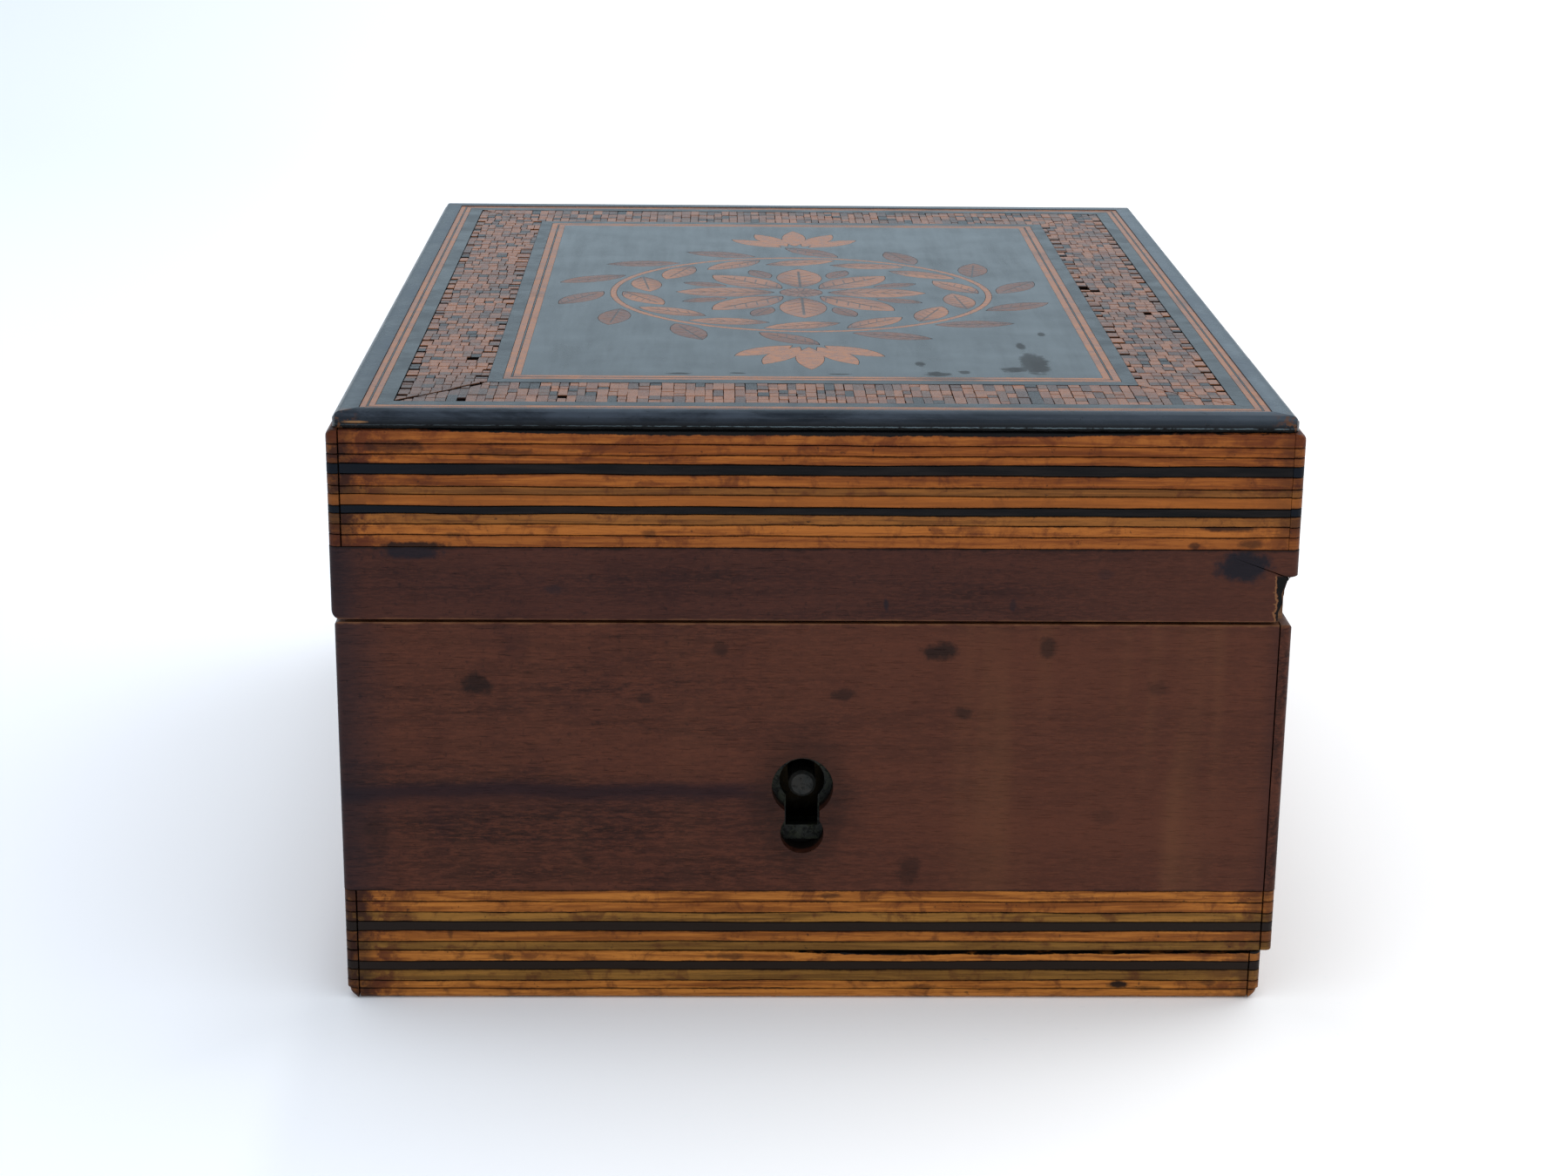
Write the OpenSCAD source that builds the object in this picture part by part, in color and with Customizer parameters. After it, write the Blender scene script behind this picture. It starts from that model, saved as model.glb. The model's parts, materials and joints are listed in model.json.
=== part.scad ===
// Small hinged keepsake box: veneered carcass, striped wood bands, an inlaid lid,
// a box lock with a sliding bolt and two butt hinges.
// X runs across the front, Y from front to back, Z up. The origin is under the middle of the box.

/* [Box] */
// Width of the lid across the front
body_w = 100; // [80:1:140]
// Depth of the lid from front to back
body_d = 130; // [100:1:180]
// Height of the base
base_h = 42.5; // [38:0.5:60]
// Height of the lid below its top sheet
lid_h = 20.1; // [18.5:0.1:30]
// Gap between base and lid
lid_gap = 0.4; // [0.3:0.05:0.6]
// How far the base stands in from the lid on each side
base_inset = 0.25; // [0:0.05:0.6]
// Rounding of the upright corners
corner_r = 0.8; // [0.3:0.1:1.1]
// Rounding of the lower edges at the left and right
foot_side_r = 2; // [0.5:0.1:2.5]
// Rounding of the lower edges at the front and back
foot_front_r = 0.8; // [0.4:0.1:1]
// Wear of the lid's lower edges at the left and right
lid_edge_r = 1; // [0.3:0.1:1.1]
// Wear of the base's upper edges at the left and right
base_edge_r = 0.6; // [0.2:0.1:1]

/* [Walls and veneer] */
// Thickness of the wooden walls and rails
core_t = 5.5; // [5.3:0.1:8]
// Thickness of the side veneers and of the band strips
veneer_t = 1.25; // [0.8:0.05:1.5]
// Thickness of the lid's top board
top_board_t = 4.5; // [3:0.1:7]
// Open seam where a front veneer meets a side veneer
corner_seam = 0.15; // [0.05:0.05:0.3]

/* [Stringing bands] */
// Strip heights of the lid band from the top down
lid_strip_h = [1.45, 1.1, 0.95, 1.1, 1.3, 0.85, 1.2, 0.85, 1.1, 1.15, 1.3]; // [0.7:0.05:1.6]
// Strip heights of the wall band from the top down
wall_strip_h = [1.3, 1.25, 1.1, 1.05, 1.2, 1.05]; // [0.7:0.05:1.6]
// Strip heights on the bottom board's edge from the top down
foot_strip_h = [1.25, 1, 1.25, 0.95, 1.2]; // [0.7:0.05:1.6]
// Glue line between two strips
glue_line = 0.1; // [0.04:0.02:0.16]
// How far the bottom board has shrunk at the right side
board_shrink = 1.1; // [0:0.1:1.2]
// Height of the open crack over the bottom board at its right end
crack_h = 0.35; // [0.1:0.05:0.5]

/* [Lid top] */
// Thickness of the inlaid top sheet
sheet_t = 1.5; // [1:0.1:3]
// How far the edge moulding stands in from the lid's side
moulding_inset = 0.6; // [0:0.05:0.8]
// Width of the edge moulding
moulding_w = 2.6; // [2.4:0.1:4]
// Width of the moulding's flat top
moulding_flat = 1.8; // [1:0.1:1.9]
// Height of the edge moulding over the sheet
moulding_rise = 0.1; // [0:0.05:0.5]
// Radius of the bead below the moulding's shoulder
bead_r = 0.35; // [0.2:0.05:0.45]
// Rounding of the moulding's corners
moulding_corner_r = 1.4; // [0.4:0.1:2.2]
// Width of the outer light string
outer_string_w = 1.5; // [1:0.1:2.5]
// Width of the dark line in each light string
string_line_w = 0.2; // [0.1:0.05:0.4]
// Width of the outer black fillet
outer_fillet_w = 1.7; // [1:0.1:3]
// Width of the mosaic border
mosaic_w = 8.9; // [6:0.1:11]
// Rows of blocks in the mosaic border
mosaic_rows = 5; // [3:1:7]
// Length of one mosaic block along the border
block_l = 1.15; // [0.9:0.05:2]
// Width of the inner black fillet
inner_fillet_w = 1.6; // [0.8:0.1:3]
// Width of the inner light string
inner_string_w = 1.8; // [1:0.1:2.5]
// Gap between two neighbouring pieces of the sheet
inlay_gap = 0.05; // [0.02:0.01:0.1]

/* [Inlay] */
// Radius of the wreath's stem
wreath_r = 23; // [22:0.5:24]
// Width of the wreath's stem
stem_w = 0.7; // [0.4:0.1:1.2]
// Pairs of leaves on the wreath
leaf_pairs = 14; // [8:1:14]
// Length of a leaf
leaf_l = 9.4; // [6:0.2:9.6]
// Width of a leaf
leaf_w = 3.7; // [2:0.1:4]
// Angle of a leaf off the stem's line
leaf_lean = 32; // [20:1:36]
// Distance from the stem to a leaf's foot
leaf_gap = 0.9; // [0.6:0.1:1.2]
// Petals of the rosette
petals = 8; // [6:1:8]
// Length of a petal
petal_l = 12; // [8:0.2:12.4]
// Width of a petal
petal_w = 5.6; // [3:0.1:6]
// Radius of the rosette's eye
eye_r = 2.6; // [1.6:0.1:2.8]
// Distance from the eye to a petal's foot
petal_gap = 0.7; // [0.4:0.1:0.8]
// Leaves in each palmette
palm_leaves = 5; // [3:2:7]
// Distance from the wreath's stem to the foot of each palmette
palm_gap = 8.6; // [8:0.1:10]
// Angle over which the leaves of a palmette spread
palm_fan = 100; // [70:5:120]
// Least distance from the wreath's leaves to the panel's left and right edges
inlay_side_margin = 1; // [0.5:0.1:6]
// Least distance from the palmettes to the panel's front and back edges
inlay_end_margin = 3.4; // [0.5:0.1:8]

/* [Hinges] */
// Distance between the middles of the two hinges
hinge_spread = 56; // [40:1:64]
// Length of a hinge
hinge_w = 12; // [9:0.5:14]
// Depth of a hinge leaf from the pin
leaf_d = 5; // [4.6:0.1:5.1]
// Thickness of a hinge leaf
leaf_t = 0.8; // [0.6:0.05:1]
// Radius of a hinge barrel
barrel_r = 1.3; // [1.1:0.05:1.5]
// Radius of a hinge pin
hinge_pin_r = 0.6; // [0.4:0.05:0.7]
// Clearance round a hinge pin
pin_clear = 0.04; // [0.02:0.01:0.08]
// Clearance round a hinge barrel
barrel_clear = 0.15; // [0.1:0.01:0.3]
// Bevel of each back edge, which lets the lid fold back
bevel_angle = 50.3; // [46:0.1:52]

/* [Lock] */
// Keyhole's distance from the middle of the front, to the right
key_x = -1.1; // [-6:0.1:6]
// Depth of the drill pin below the base's top edge
key_drop = 18.1; // [17.5:0.1:19]
// Radius of the keyhole in the wood
keyhole_r = 3.25; // [2.8:0.05:3.6]
// Radius of the rounded lower end of the keyhole in the wood
keyhole_foot_r = 2.3; // [1.9:0.05:2.6]
// Distance from the keyhole's centre to its lower end
keyhole_drop = 7.5; // [7:0.1:8]
// Width of the keyhole's neck in the wood
keyhole_neck_w = 3.7; // [3.5:0.1:4]
// Radius of the keyhole in the brass cap
cap_hole_r = 2.4; // [2.1:0.05:2.6]
// Width of the slot in the brass cap
cap_slot_w = 3.4; // [3:0.1:3.6]
// Distance from the drill pin to the slot's end in the brass cap
cap_slot_drop = 5.1; // [4.6:0.1:5.4]
// Radius of the drill pin
drill_pin_r = 1.45; // [1.2:0.05:1.6]
// How far the drill pin's tip lies behind the front veneer's face
pin_setback = 0.85; // [0.5:0.05:1.5]
// Width of the lock's case
lock_w = 26; // [25:0.5:30]
// Height of the lock's case
lock_h = 24; // [23.5:0.1:24.8]
// Thickness of the lock's brass plates
plate_t = 0.8; // [0.6:0.05:0.9]
// Wood of the wall left in front of the lock
lock_cover = 0.9; // [0.6:0.05:1]
// Width by which the backplate passes the case on each side
ear_w = 4; // [3.6:0.1:6]
// Travel of the bolt
bolt_travel = 3.2; // [2.6:0.1:3.4]
// Height of the bolt's body
bolt_h = 4.8; // [4.6:0.1:5]
// Clearance of the bolt on its studs and in its case
bolt_clear = 0.08; // [0.04:0.01:0.12]
// Radius of the bolt's guide studs
stud_r = 0.8; // [0.6:0.05:0.9]
// Thickness of the staple in the lid's link plate, along the bolt
staple_t = 2; // [1.4:0.1:2.2]
// Clearance of the bolt's horn in the staple
staple_clear = 0.2; // [0.12:0.01:0.25]
// Clearance of the lock in its mortise
lock_clear = 0.1; // [0.05:0.01:0.2]

/* [Screws] */
// Radius of a screw's shank
screw_r = 0.7; // [0.5:0.05:0.8]
// Radius of a screw's head
head_r = 1.3; // [1:0.05:1.4]
// Height of a screw's head
head_h = 0.6; // [0.4:0.05:0.6]
// Length of a screw
screw_l = 4.6; // [3:0.1:4.8]
// Clearance of a screw in its hole
screw_clear = 0.05; // [0.02:0.01:0.1]

/* [Hidden] */
$fn = 48;

// Colours
CORE = [0.42, 0.29, 0.19];
WALNUT = [0.24, 0.16, 0.14];
LIGHT = [0.55, 0.33, 0.16];
OLIVE = [0.46, 0.3, 0.16];
BLACK = [0.1, 0.1, 0.11];
TAN = [0.66, 0.5, 0.38];
BROWN = [0.42, 0.27, 0.19];
BRASS = [0.6, 0.5, 0.28];
STEEL = [0.45, 0.44, 0.42];

// Wood of each strip from the top down
lid_woods = "LLLBLOLBOLL";
wall_woods = "LLOBLO";
foot_woods = "LBOLL";

// Far enough past a face to cut cleanly through it
over = 1;

// Half sizes of the lid and the base, outside the veneer and outside the core
lid_x = body_w / 2;
lid_y = body_d / 2;
base_x = lid_x - base_inset;
base_y = lid_y - base_inset;
lid_core_x = lid_x - veneer_t;
lid_core_y = lid_y - veneer_t;
base_core_x = base_x - veneer_t;
base_core_y = base_y - veneer_t;

// Heights
foot_h = total(foot_strip_h, len(foot_strip_h));
base_band_top = foot_h + total(wall_strip_h, len(wall_strip_h));
lid_z = base_h + lid_gap;
lid_top = lid_z + lid_h;
lid_band_bottom = lid_top - total(lid_strip_h, len(lid_strip_h));
board_z = lid_top - top_board_t;

// Insets of the lid's borders from its side
outer_string_in = moulding_inset + moulding_w;
outer_fillet_in = outer_string_in + outer_string_w;
mosaic_in = outer_fillet_in + outer_fillet_w;
inner_fillet_in = mosaic_in + mosaic_w;
inner_string_in = inner_fillet_in + inner_fillet_w;
panel_in = inner_string_in + inner_string_w;
row_w = mosaic_w / mosaic_rows;
bead_set = 0.05;
dark_every = 9;

// Inlay: its drawing's reach to each side and to the front, and the scale that fits it in the panel
tip_start = 0.55;
tip_l = 0.48 * petal_l;
tip_w = 0.45 * petal_w;
palm_root = 2.4;
palm_leaf_l = 1.2 * leaf_l;
palm_leaf_w = 0.85 * leaf_w;
palm_leaf_drop = 0.6 * leaf_l;
leaf_reach = norm([wreath_r + stem_w / 2 + leaf_gap + leaf_l * sin(leaf_lean), leaf_l * cos(leaf_lean)]);
palm_reach = wreath_r + palm_gap + palm_leaf_l;
inlay_fit = min((lid_x - panel_in - inlay_side_margin) / leaf_reach,
    (lid_y - panel_in - inlay_end_margin) / palm_reach);

// Break at the lid's front right corner: its size, and its edges as shares of that size
chip_w = 1.95;
chip_h = 5.3;
chip_d = 7.5;
chip_edge = [[1, -1], [1, 0.2], [0.79, 0.4], [0.87, 0.58], [0.68, 0.8], [0.45, 0.92], [-1, 1], [-1, -1]];
chip_side_edge = [[-1, -1], [1, -1], [0.93, 0.26], [0.75, 0.53], [0.56, 0.87], [0.21, 0.98], [-1, 1]];
split_l = 7.3;
split_w = 0.15;
split_drop = 0.65;
split_end = 0.9;

// Hinge axis
hinge_in = 0.1;
hinge_y = lid_y - barrel_r - hinge_in;
hinge_z = base_h + lid_gap / 2;
bevel_reach = 4;
knuckle_w = hinge_w / 3;
knuckle_gap = 0.1;
hinge_screw_x = hinge_w * 0.28;
hinge_screw_edge = 0.5;
hinge_screw_y = hinge_y - leaf_d + head_r + hinge_screw_edge;
screw_slot_w = 0.3;
screw_slot_d = 0.3;

// Lock
key_z = base_h - key_drop;
lock_front = -base_core_y + lock_cover;
lock_back = -base_core_y + core_t;
case_top = base_h - plate_t;
case_bottom = case_top - lock_h;
case_in = lock_w / 2 - plate_t;
lock_mid = (lock_front + plate_t + lock_back) / 2;
bolt_side_play = 0.4;
bolt_back_play = 0.7;
bolt_front_play = 1.7;
bolt_rise = 4.2;
stud_in = 5.3;
stud_out = 2.3;
horn_rise = 3.6;
horn_h = 2;
horn_t = 0.9;
post_in = 6;
post_w = 2.9;
staple_play = 0.4;
staple_leg = 0.8;
bolt_t = lock_back - lock_front - plate_t - bolt_side_play;
bolt_bottom = key_z + bolt_rise;
bolt_mid = bolt_bottom + bolt_h / 2;
bolt_top = bolt_bottom + bolt_h;
bolt_left = bolt_back_play - case_in;
bolt_right = case_in - bolt_travel - bolt_front_play;
stud_xs = [bolt_left + stud_in, bolt_right - stud_out];
horn_z = bolt_top + horn_rise;
post_x = bolt_left + post_in;
staple_x = post_x + post_w + bolt_travel + staple_play;
staple_w = horn_t + 2 * staple_clear + 2 * staple_leg;
staple_foot = 1;
staple_window = 1;
link_d = 3.2;
link_screw_x = 9;
link_edge = 1.7;
link_w = 2 * (link_screw_x + head_r + link_edge);
backplate_drop = 2;
talon_w = 3.4;
talon_h = 1.3;
spring_t = 0.35;
spring_r = 8;
spring_w = 2.4;
spring_in = 4;
spring_play = 0.4;
ear_x = lock_w / 2 + ear_w / 2;

// Sum of the first n values of a list
function total(v, n) = n <= 0 ? 0 : v[n - 1] + total(v, n - 1);

// Whether a block of the mosaic is a dark one, in a pattern that repeats unevenly
function is_dark(side, row, i) = (i * 5 + row * 7 + side * 3 + (i * row) % 4) % dark_every == 0;

// Outline of a box in plan with rounded corners
module plan(hx, hy, r) {
    square([2 * (hx - r), 2 * hy], center = true);
    square([2 * hx, 2 * (hy - r)], center = true);
    for (sx = [-1, 1], sy = [-1, 1])
        translate([sx * (hx - r), sy * (hy - r)]) circle(r);
}

// Extrudes a drawing of Y and Z along X
module along_x(l) {
    rotate([90, 0, 90]) translate([0, 0, -l / 2]) linear_extrude(l) children();
}

// Extrudes a drawing of X and Z towards the front, from y
module to_front(y, l) {
    translate([0, y, 0]) rotate([90, 0, 0]) linear_extrude(l) children();
}

// Box between two corners
module block(a, b) {
    translate(a) cube(b - a);
}

// Part of the outline in plan between two corners, raised from z0 to z1
module facing(hx, hy, a, b, z0, z1) {
    translate([0, 0, z0]) linear_extrude(z1 - z0) intersection() {
        plan(hx, hy, corner_r);
        translate(a) square(b - a);
    }
}

// Facing on the front or back: between the side facings, or over their ends
module front_facing(hx, hy, z0, z1, back = false, over_left = false, over_right = false, cut = 0) {
    y0 = back ? hy - veneer_t : -hy;
    x0 = over_left ? -hx : veneer_t + corner_seam - hx;
    x1 = over_right ? hx : hx - veneer_t - corner_seam - cut;
    facing(hx, hy, [x0, y0], [x1, y0 + veneer_t], z0, z1);
}

// Facing on the left or right: it runs out to the front or back as an end, or stops behind a facing
module side_facing(hx, hy, z0, z1, right = false, front_end = true, back_end = true, shift = 0) {
    x0 = right ? hx - veneer_t : -hx;
    y0 = front_end ? -hy : veneer_t + corner_seam - hy;
    y1 = back_end ? hy : hy - veneer_t - corner_seam;
    translate([-shift, 0, 0]) facing(hx, hy, [x0, y0], [x0 + veneer_t, y1], z0, z1);
}

// Wedge cleared off a back edge, below the hinge axis for the base and above it for the lid
module back_bevel(up) {
    drop = bevel_reach * tan(bevel_angle);
    translate([0, hinge_y, hinge_z]) along_x(body_w + 2 * over)
        polygon([[0, -up * lid_gap], [0, 0], [bevel_reach, up * drop], [bevel_reach, -up * lid_gap]]);
}

// Room for the hinge barrels
module barrel_room() {
    for (s = [-1, 1])
        translate([s * hinge_spread / 2, hinge_y, hinge_z]) rotate([0, 90, 0])
            cylinder(r = barrel_r + barrel_clear, h = hinge_w + 2 * barrel_clear, center = true);
}

// Room for the hinge leaves, and for their screws, in the base or in the lid
module leaf_room(up) {
    z = up > 0 ? lid_z : base_h - leaf_t;
    for (s = [-1, 1])
        translate([s * hinge_spread / 2, 0, 0]) {
            block([-hinge_w / 2 - barrel_clear, hinge_y - leaf_d - barrel_clear, z - (up > 0 ? over : 0)],
                [hinge_w / 2 + barrel_clear, hinge_y, z + leaf_t + (up > 0 ? 0 : over)]);
            hinge_screw_places(up) screw(screw_clear);
        }
}

// Countersunk screw, its head's face at the origin and its shank down along -Z
module screw(grow = 0) {
    translate([0, 0, -head_h]) cylinder(r1 = screw_r + grow, r2 = head_r + grow, h = head_h);
    translate([0, 0, -screw_l - grow]) cylinder(r = screw_r + grow, h = screw_l + grow - head_h);
    if (grow > 0) cylinder(r = head_r + grow, h = over);
}

// Screw with its slot cut
module slotted_screw() {
    difference() {
        screw();
        translate([-head_r, -screw_slot_w / 2, -screw_slot_d]) cube([2 * head_r, screw_slot_w, over]);
    }
}

// Places of the two screws of a hinge leaf, from the hinge's middle
module hinge_screw_places(up) {
    for (sx = [-1, 1])
        translate([sx * hinge_screw_x, hinge_screw_y, up > 0 ? lid_z : base_h])
            rotate([up > 0 ? 180 : 0, 0, 0]) children();
}

// Keyhole cut in the wood, drawn round the drill pin's centre
module wood_keyhole() {
    circle(keyhole_r);
    translate([0, keyhole_foot_r - keyhole_drop]) circle(keyhole_foot_r);
    translate([-keyhole_neck_w / 2, keyhole_foot_r - keyhole_drop])
        square([keyhole_neck_w, keyhole_drop - keyhole_foot_r]);
}

// Keyhole cut in the brass cap, drawn round the drill pin's centre
module cap_keyhole() {
    circle(cap_hole_r);
    translate([-cap_slot_w / 2, -cap_slot_drop]) square([cap_slot_w, cap_slot_drop]);
}

// The wood's keyhole through the wall's front
module keyhole_cut() {
    translate([key_x, 0, key_z]) to_front(lock_front + over, over + lock_cover + veneer_t + over)
        wood_keyhole();
}

// Places of the lock's screws: two down through the flange, two into the wall
module lock_screw_places() {
    for (s = [-1, 1]) {
        translate([key_x + s * ear_x, lock_mid, base_h]) children();
        translate([key_x + s * ear_x, lock_back + plate_t, case_bottom + head_r]) rotate([-90, 0, 0])
            children();
    }
}

// Rounds off the left and right edges at a height: up 1 for upper edges, -1 for lower ones
module side_edge_cutters(hx, hy, z, up, r) {
    for (s = [-1, 1])
        translate([s * (hx - r), 0, z - up * r]) scale([s, 1, -up]) rotate([90, 0, 0])
            translate([0, 0, -hy - over]) linear_extrude(2 * (hy + over)) foot_corner(r);
}

// Rounds off the four lower edges
module foot_cutters(hx, hy) {
    side_edge_cutters(hx, hy, 0, -1, foot_side_r);
    for (s = [-1, 1])
        scale([1, s, 1]) translate([0, hy - foot_front_r, foot_front_r]) along_x(2 * (hx + over))
            foot_corner(foot_front_r);
}

// What is cut away outside a quarter round
module foot_corner(r) {
    difference() {
        translate([0, -r - over]) square([r + over, r + over]);
        circle(r);
    }
}

// Carcass of the base

module base_front_wall() {
    color(CORE) difference() {
        block([-base_core_x, -base_core_y, foot_h], [base_core_x, lock_back, base_h]);
        translate([key_x, 0, 0]) {
            block([-lock_w / 2 - lock_clear, lock_front, case_bottom - lock_clear],
                [lock_w / 2 + lock_clear, lock_back + over, base_h + over]);
            block([-lock_w / 2 - ear_w - lock_clear, lock_front, case_top],
                [lock_w / 2 + ear_w + lock_clear, lock_back + over, base_h + over]);
        }
        keyhole_cut();
        lock_screw_places() screw(screw_clear);
    }
}

module base_back_wall() {
    color(CORE) difference() {
        block([-base_core_x, base_core_y - core_t, foot_h], [base_core_x, base_core_y, base_h]);
        back_bevel(-1);
        barrel_room();
        leaf_room(-1);
    }
}

module base_side_wall(s) {
    x0 = s < 0 ? -base_core_x : base_core_x - core_t;
    color(CORE) block([x0, lock_back, foot_h], [x0 + core_t, base_core_y - core_t, base_h]);
}

module base_left_wall() {
    base_side_wall(-1);
}

module base_right_wall() {
    base_side_wall(1);
}

module bottom_board() {
    color(CORE) difference() {
        block([-base_core_x, -base_core_y, 0], [base_core_x - board_shrink, base_core_y, foot_h]);
        foot_cutters(base_x, base_y);
        translate([-board_shrink, 0, 0]) foot_cutters(base_x, base_y);
    }
}

// Veneers of the base

module worn_base_edges() {
    side_edge_cutters(base_x, base_y, base_h, 1, base_edge_r);
}

module base_front_veneer() {
    color(WALNUT) difference() {
        front_facing(base_x, base_y, base_band_top, base_h, over_left = true);
        keyhole_cut();
        worn_base_edges();
    }
}

module base_back_veneer() {
    color(WALNUT) difference() {
        front_facing(base_x, base_y, base_band_top, base_h, back = true, over_left = true, over_right = true);
        back_bevel(-1);
        barrel_room();
        worn_base_edges();
    }
}

module base_left_veneer() {
    color(WALNUT) difference() {
        side_facing(base_x, base_y, base_band_top, base_h, front_end = false, back_end = false);
        back_bevel(-1);
        worn_base_edges();
    }
}

module base_right_veneer() {
    color(WALNUT) difference() {
        side_facing(base_x, base_y, base_band_top, base_h, right = true, back_end = false);
        back_bevel(-1);
        worn_base_edges();
    }
}

// Strips of one wood in a band, on all four sides
module strips(hx, hy, z_top, heights, woods, wood, right_cut = 0) {
    for (i = [0 : len(heights) - 1])
        if (woods[i] == wood) {
            z1 = z_top - total(heights, i) - glue_line / 2;
            z0 = z_top - total(heights, i + 1) + glue_line / 2;
            front_facing(hx, hy, z0, z1, cut = right_cut);
            front_facing(hx, hy, z0, z1, back = true, cut = right_cut);
            side_facing(hx, hy, z0, z1);
            side_facing(hx, hy, z0, z1, right = true, shift = right_cut);
        }
}

module base_light_strips() {
    color(LIGHT) strips(base_x, base_y, base_band_top, wall_strip_h, wall_woods, "L");
}

module base_olive_strips() {
    color(OLIVE) strips(base_x, base_y, base_band_top, wall_strip_h, wall_woods, "O");
}

module base_black_strips() {
    color(BLACK) strips(base_x, base_y, base_band_top, wall_strip_h, wall_woods, "B");
}

// Strips on the bottom board's edge, rounded below and open at the crack above
module foot_strips(wood) {
    difference() {
        strips(base_x, base_y, foot_h, foot_strip_h, foot_woods, wood, board_shrink);
        foot_cutters(base_x, base_y);
        translate([-board_shrink, 0, 0]) foot_cutters(base_x, base_y);
        to_front(-base_y + veneer_t + over, veneer_t + 2 * over)
            polygon([[0, foot_h], [base_x, foot_h - crack_h], [base_x, foot_h + over], [0, foot_h + over]]);
    }
}

module foot_light_strips() {
    color(LIGHT) foot_strips("L");
}

module foot_olive_strips() {
    color(OLIVE) foot_strips("O");
}

module foot_black_strips() {
    color(BLACK) foot_strips("B");
}

// Carcass of the lid

module lid_front_rail() {
    color(CORE) difference() {
        block([-lid_core_x, -lid_core_y, lid_z], [lid_core_x, -lid_core_y + core_t, board_z]);
        block([key_x - link_w / 2 - lock_clear, lock_mid - link_d / 2 - lock_clear, lid_z - over],
            [key_x + link_w / 2 + lock_clear, lock_mid + link_d / 2 + lock_clear, lid_z + plate_t]);
        link_screw_places() screw(screw_clear);
    }
}

module lid_back_rail() {
    color(CORE) difference() {
        block([-lid_core_x, lid_core_y - core_t, lid_z], [lid_core_x, lid_core_y, board_z]);
        back_bevel(1);
        barrel_room();
        leaf_room(1);
    }
}

module lid_side_rail(s) {
    x0 = s < 0 ? -lid_core_x : lid_core_x - core_t;
    color(CORE) block([x0, -lid_core_y + core_t, lid_z], [x0 + core_t, lid_core_y - core_t, board_z]);
}

module lid_left_rail() {
    lid_side_rail(-1);
}

module lid_right_rail() {
    lid_side_rail(1);
}

module lid_top_board() {
    color(CORE) block([-lid_core_x, -lid_core_y, board_z], [lid_core_x, lid_core_y, lid_top]);
}

// Veneers of the lid, broken away at the front right corner

module broken_corner() {
    to_front(-lid_y + veneer_t + over, veneer_t + 2 * over)
        polygon([for (p = chip_edge) [lid_x - chip_w * p[0], lid_z + chip_h * p[1]]]);
}

module broken_side() {
    translate([lid_x - veneer_t / 2, 0, 0]) along_x(veneer_t + 2 * over)
        polygon([for (p = chip_side_edge) [chip_d * p[0] - lid_y, lid_z + chip_h * p[1]]]);
}

// Split in the front veneer, from the band down to the broken corner
module veneer_split() {
    tip = [lid_x - split_l, lid_band_bottom - split_drop];
    end = [lid_x - chip_w / 2, lid_z + chip_h * split_end];
    to_front(-lid_y + veneer_t + over, veneer_t + 2 * over)
        polygon([tip, end - [0, split_w / 2], end + [0, split_w / 2]]);
}

module worn_lid_edges() {
    side_edge_cutters(lid_x, lid_y, lid_z, -1, lid_edge_r);
}

module lid_front_veneer() {
    color(WALNUT) difference() {
        front_facing(lid_x, lid_y, lid_z, lid_band_bottom, over_left = true, over_right = true);
        broken_corner();
        veneer_split();
        worn_lid_edges();
    }
}

module lid_back_veneer() {
    color(WALNUT) difference() {
        front_facing(lid_x, lid_y, lid_z, lid_band_bottom, back = true, over_left = true, over_right = true);
        back_bevel(1);
        barrel_room();
        worn_lid_edges();
    }
}

module lid_left_veneer() {
    color(WALNUT) difference() {
        side_facing(lid_x, lid_y, lid_z, lid_band_bottom, front_end = false, back_end = false);
        back_bevel(1);
        worn_lid_edges();
    }
}

module lid_right_veneer() {
    color(WALNUT) difference() {
        side_facing(lid_x, lid_y, lid_z, lid_band_bottom, right = true, front_end = false, back_end = false);
        back_bevel(1);
        broken_side();
        worn_lid_edges();
    }
}

module lid_light_strips() {
    color(LIGHT) strips(lid_x, lid_y, lid_top, lid_strip_h, lid_woods, "L");
}

module lid_olive_strips() {
    color(OLIVE) strips(lid_x, lid_y, lid_top, lid_strip_h, lid_woods, "O");
}

module lid_black_strips() {
    color(BLACK) strips(lid_x, lid_y, lid_top, lid_strip_h, lid_woods, "B");
}

// Top sheet of the lid

// Plan of one mitred side of a border: 0 front, 1 right, 2 back, 3 left
module border_side(side, inset, w) {
    along = (side % 2 == 0 ? lid_x : lid_y) - inset;
    across = (side % 2 == 0 ? lid_y : lid_x) - inset;
    g = inlay_gap / 2;
    rotate(side * 90) polygon([[-along + g + g, -across + g], [along - g - g, -across + g],
        [along - w + g - g, -across + w - g], [-along + w - g + g, -across + w - g]]);
}

// Mitred border of the sheet, its four lengths apart
module border(inset, w) {
    translate([0, 0, lid_top]) linear_extrude(sheet_t)
        for (side = [0 : 3]) border_side(side, inset, w);
}

// Section of the edge moulding, Y outward from its inner edge and Z up: a flat, a round shoulder
// and a bead over the upright edge
module moulding_section() {
    h = sheet_t + moulding_rise;
    shoulder_r = moulding_w - bead_r - moulding_flat + bead_set;
    bead_z = h - shoulder_r - bead_r;
    square([moulding_flat, h]);
    square([moulding_flat + shoulder_r, h - shoulder_r]);
    translate([moulding_flat, h - shoulder_r]) circle(shoulder_r);
    translate([moulding_w - bead_r, bead_z]) circle(bead_r);
    square([moulding_w - bead_set, bead_z]);
}

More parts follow.
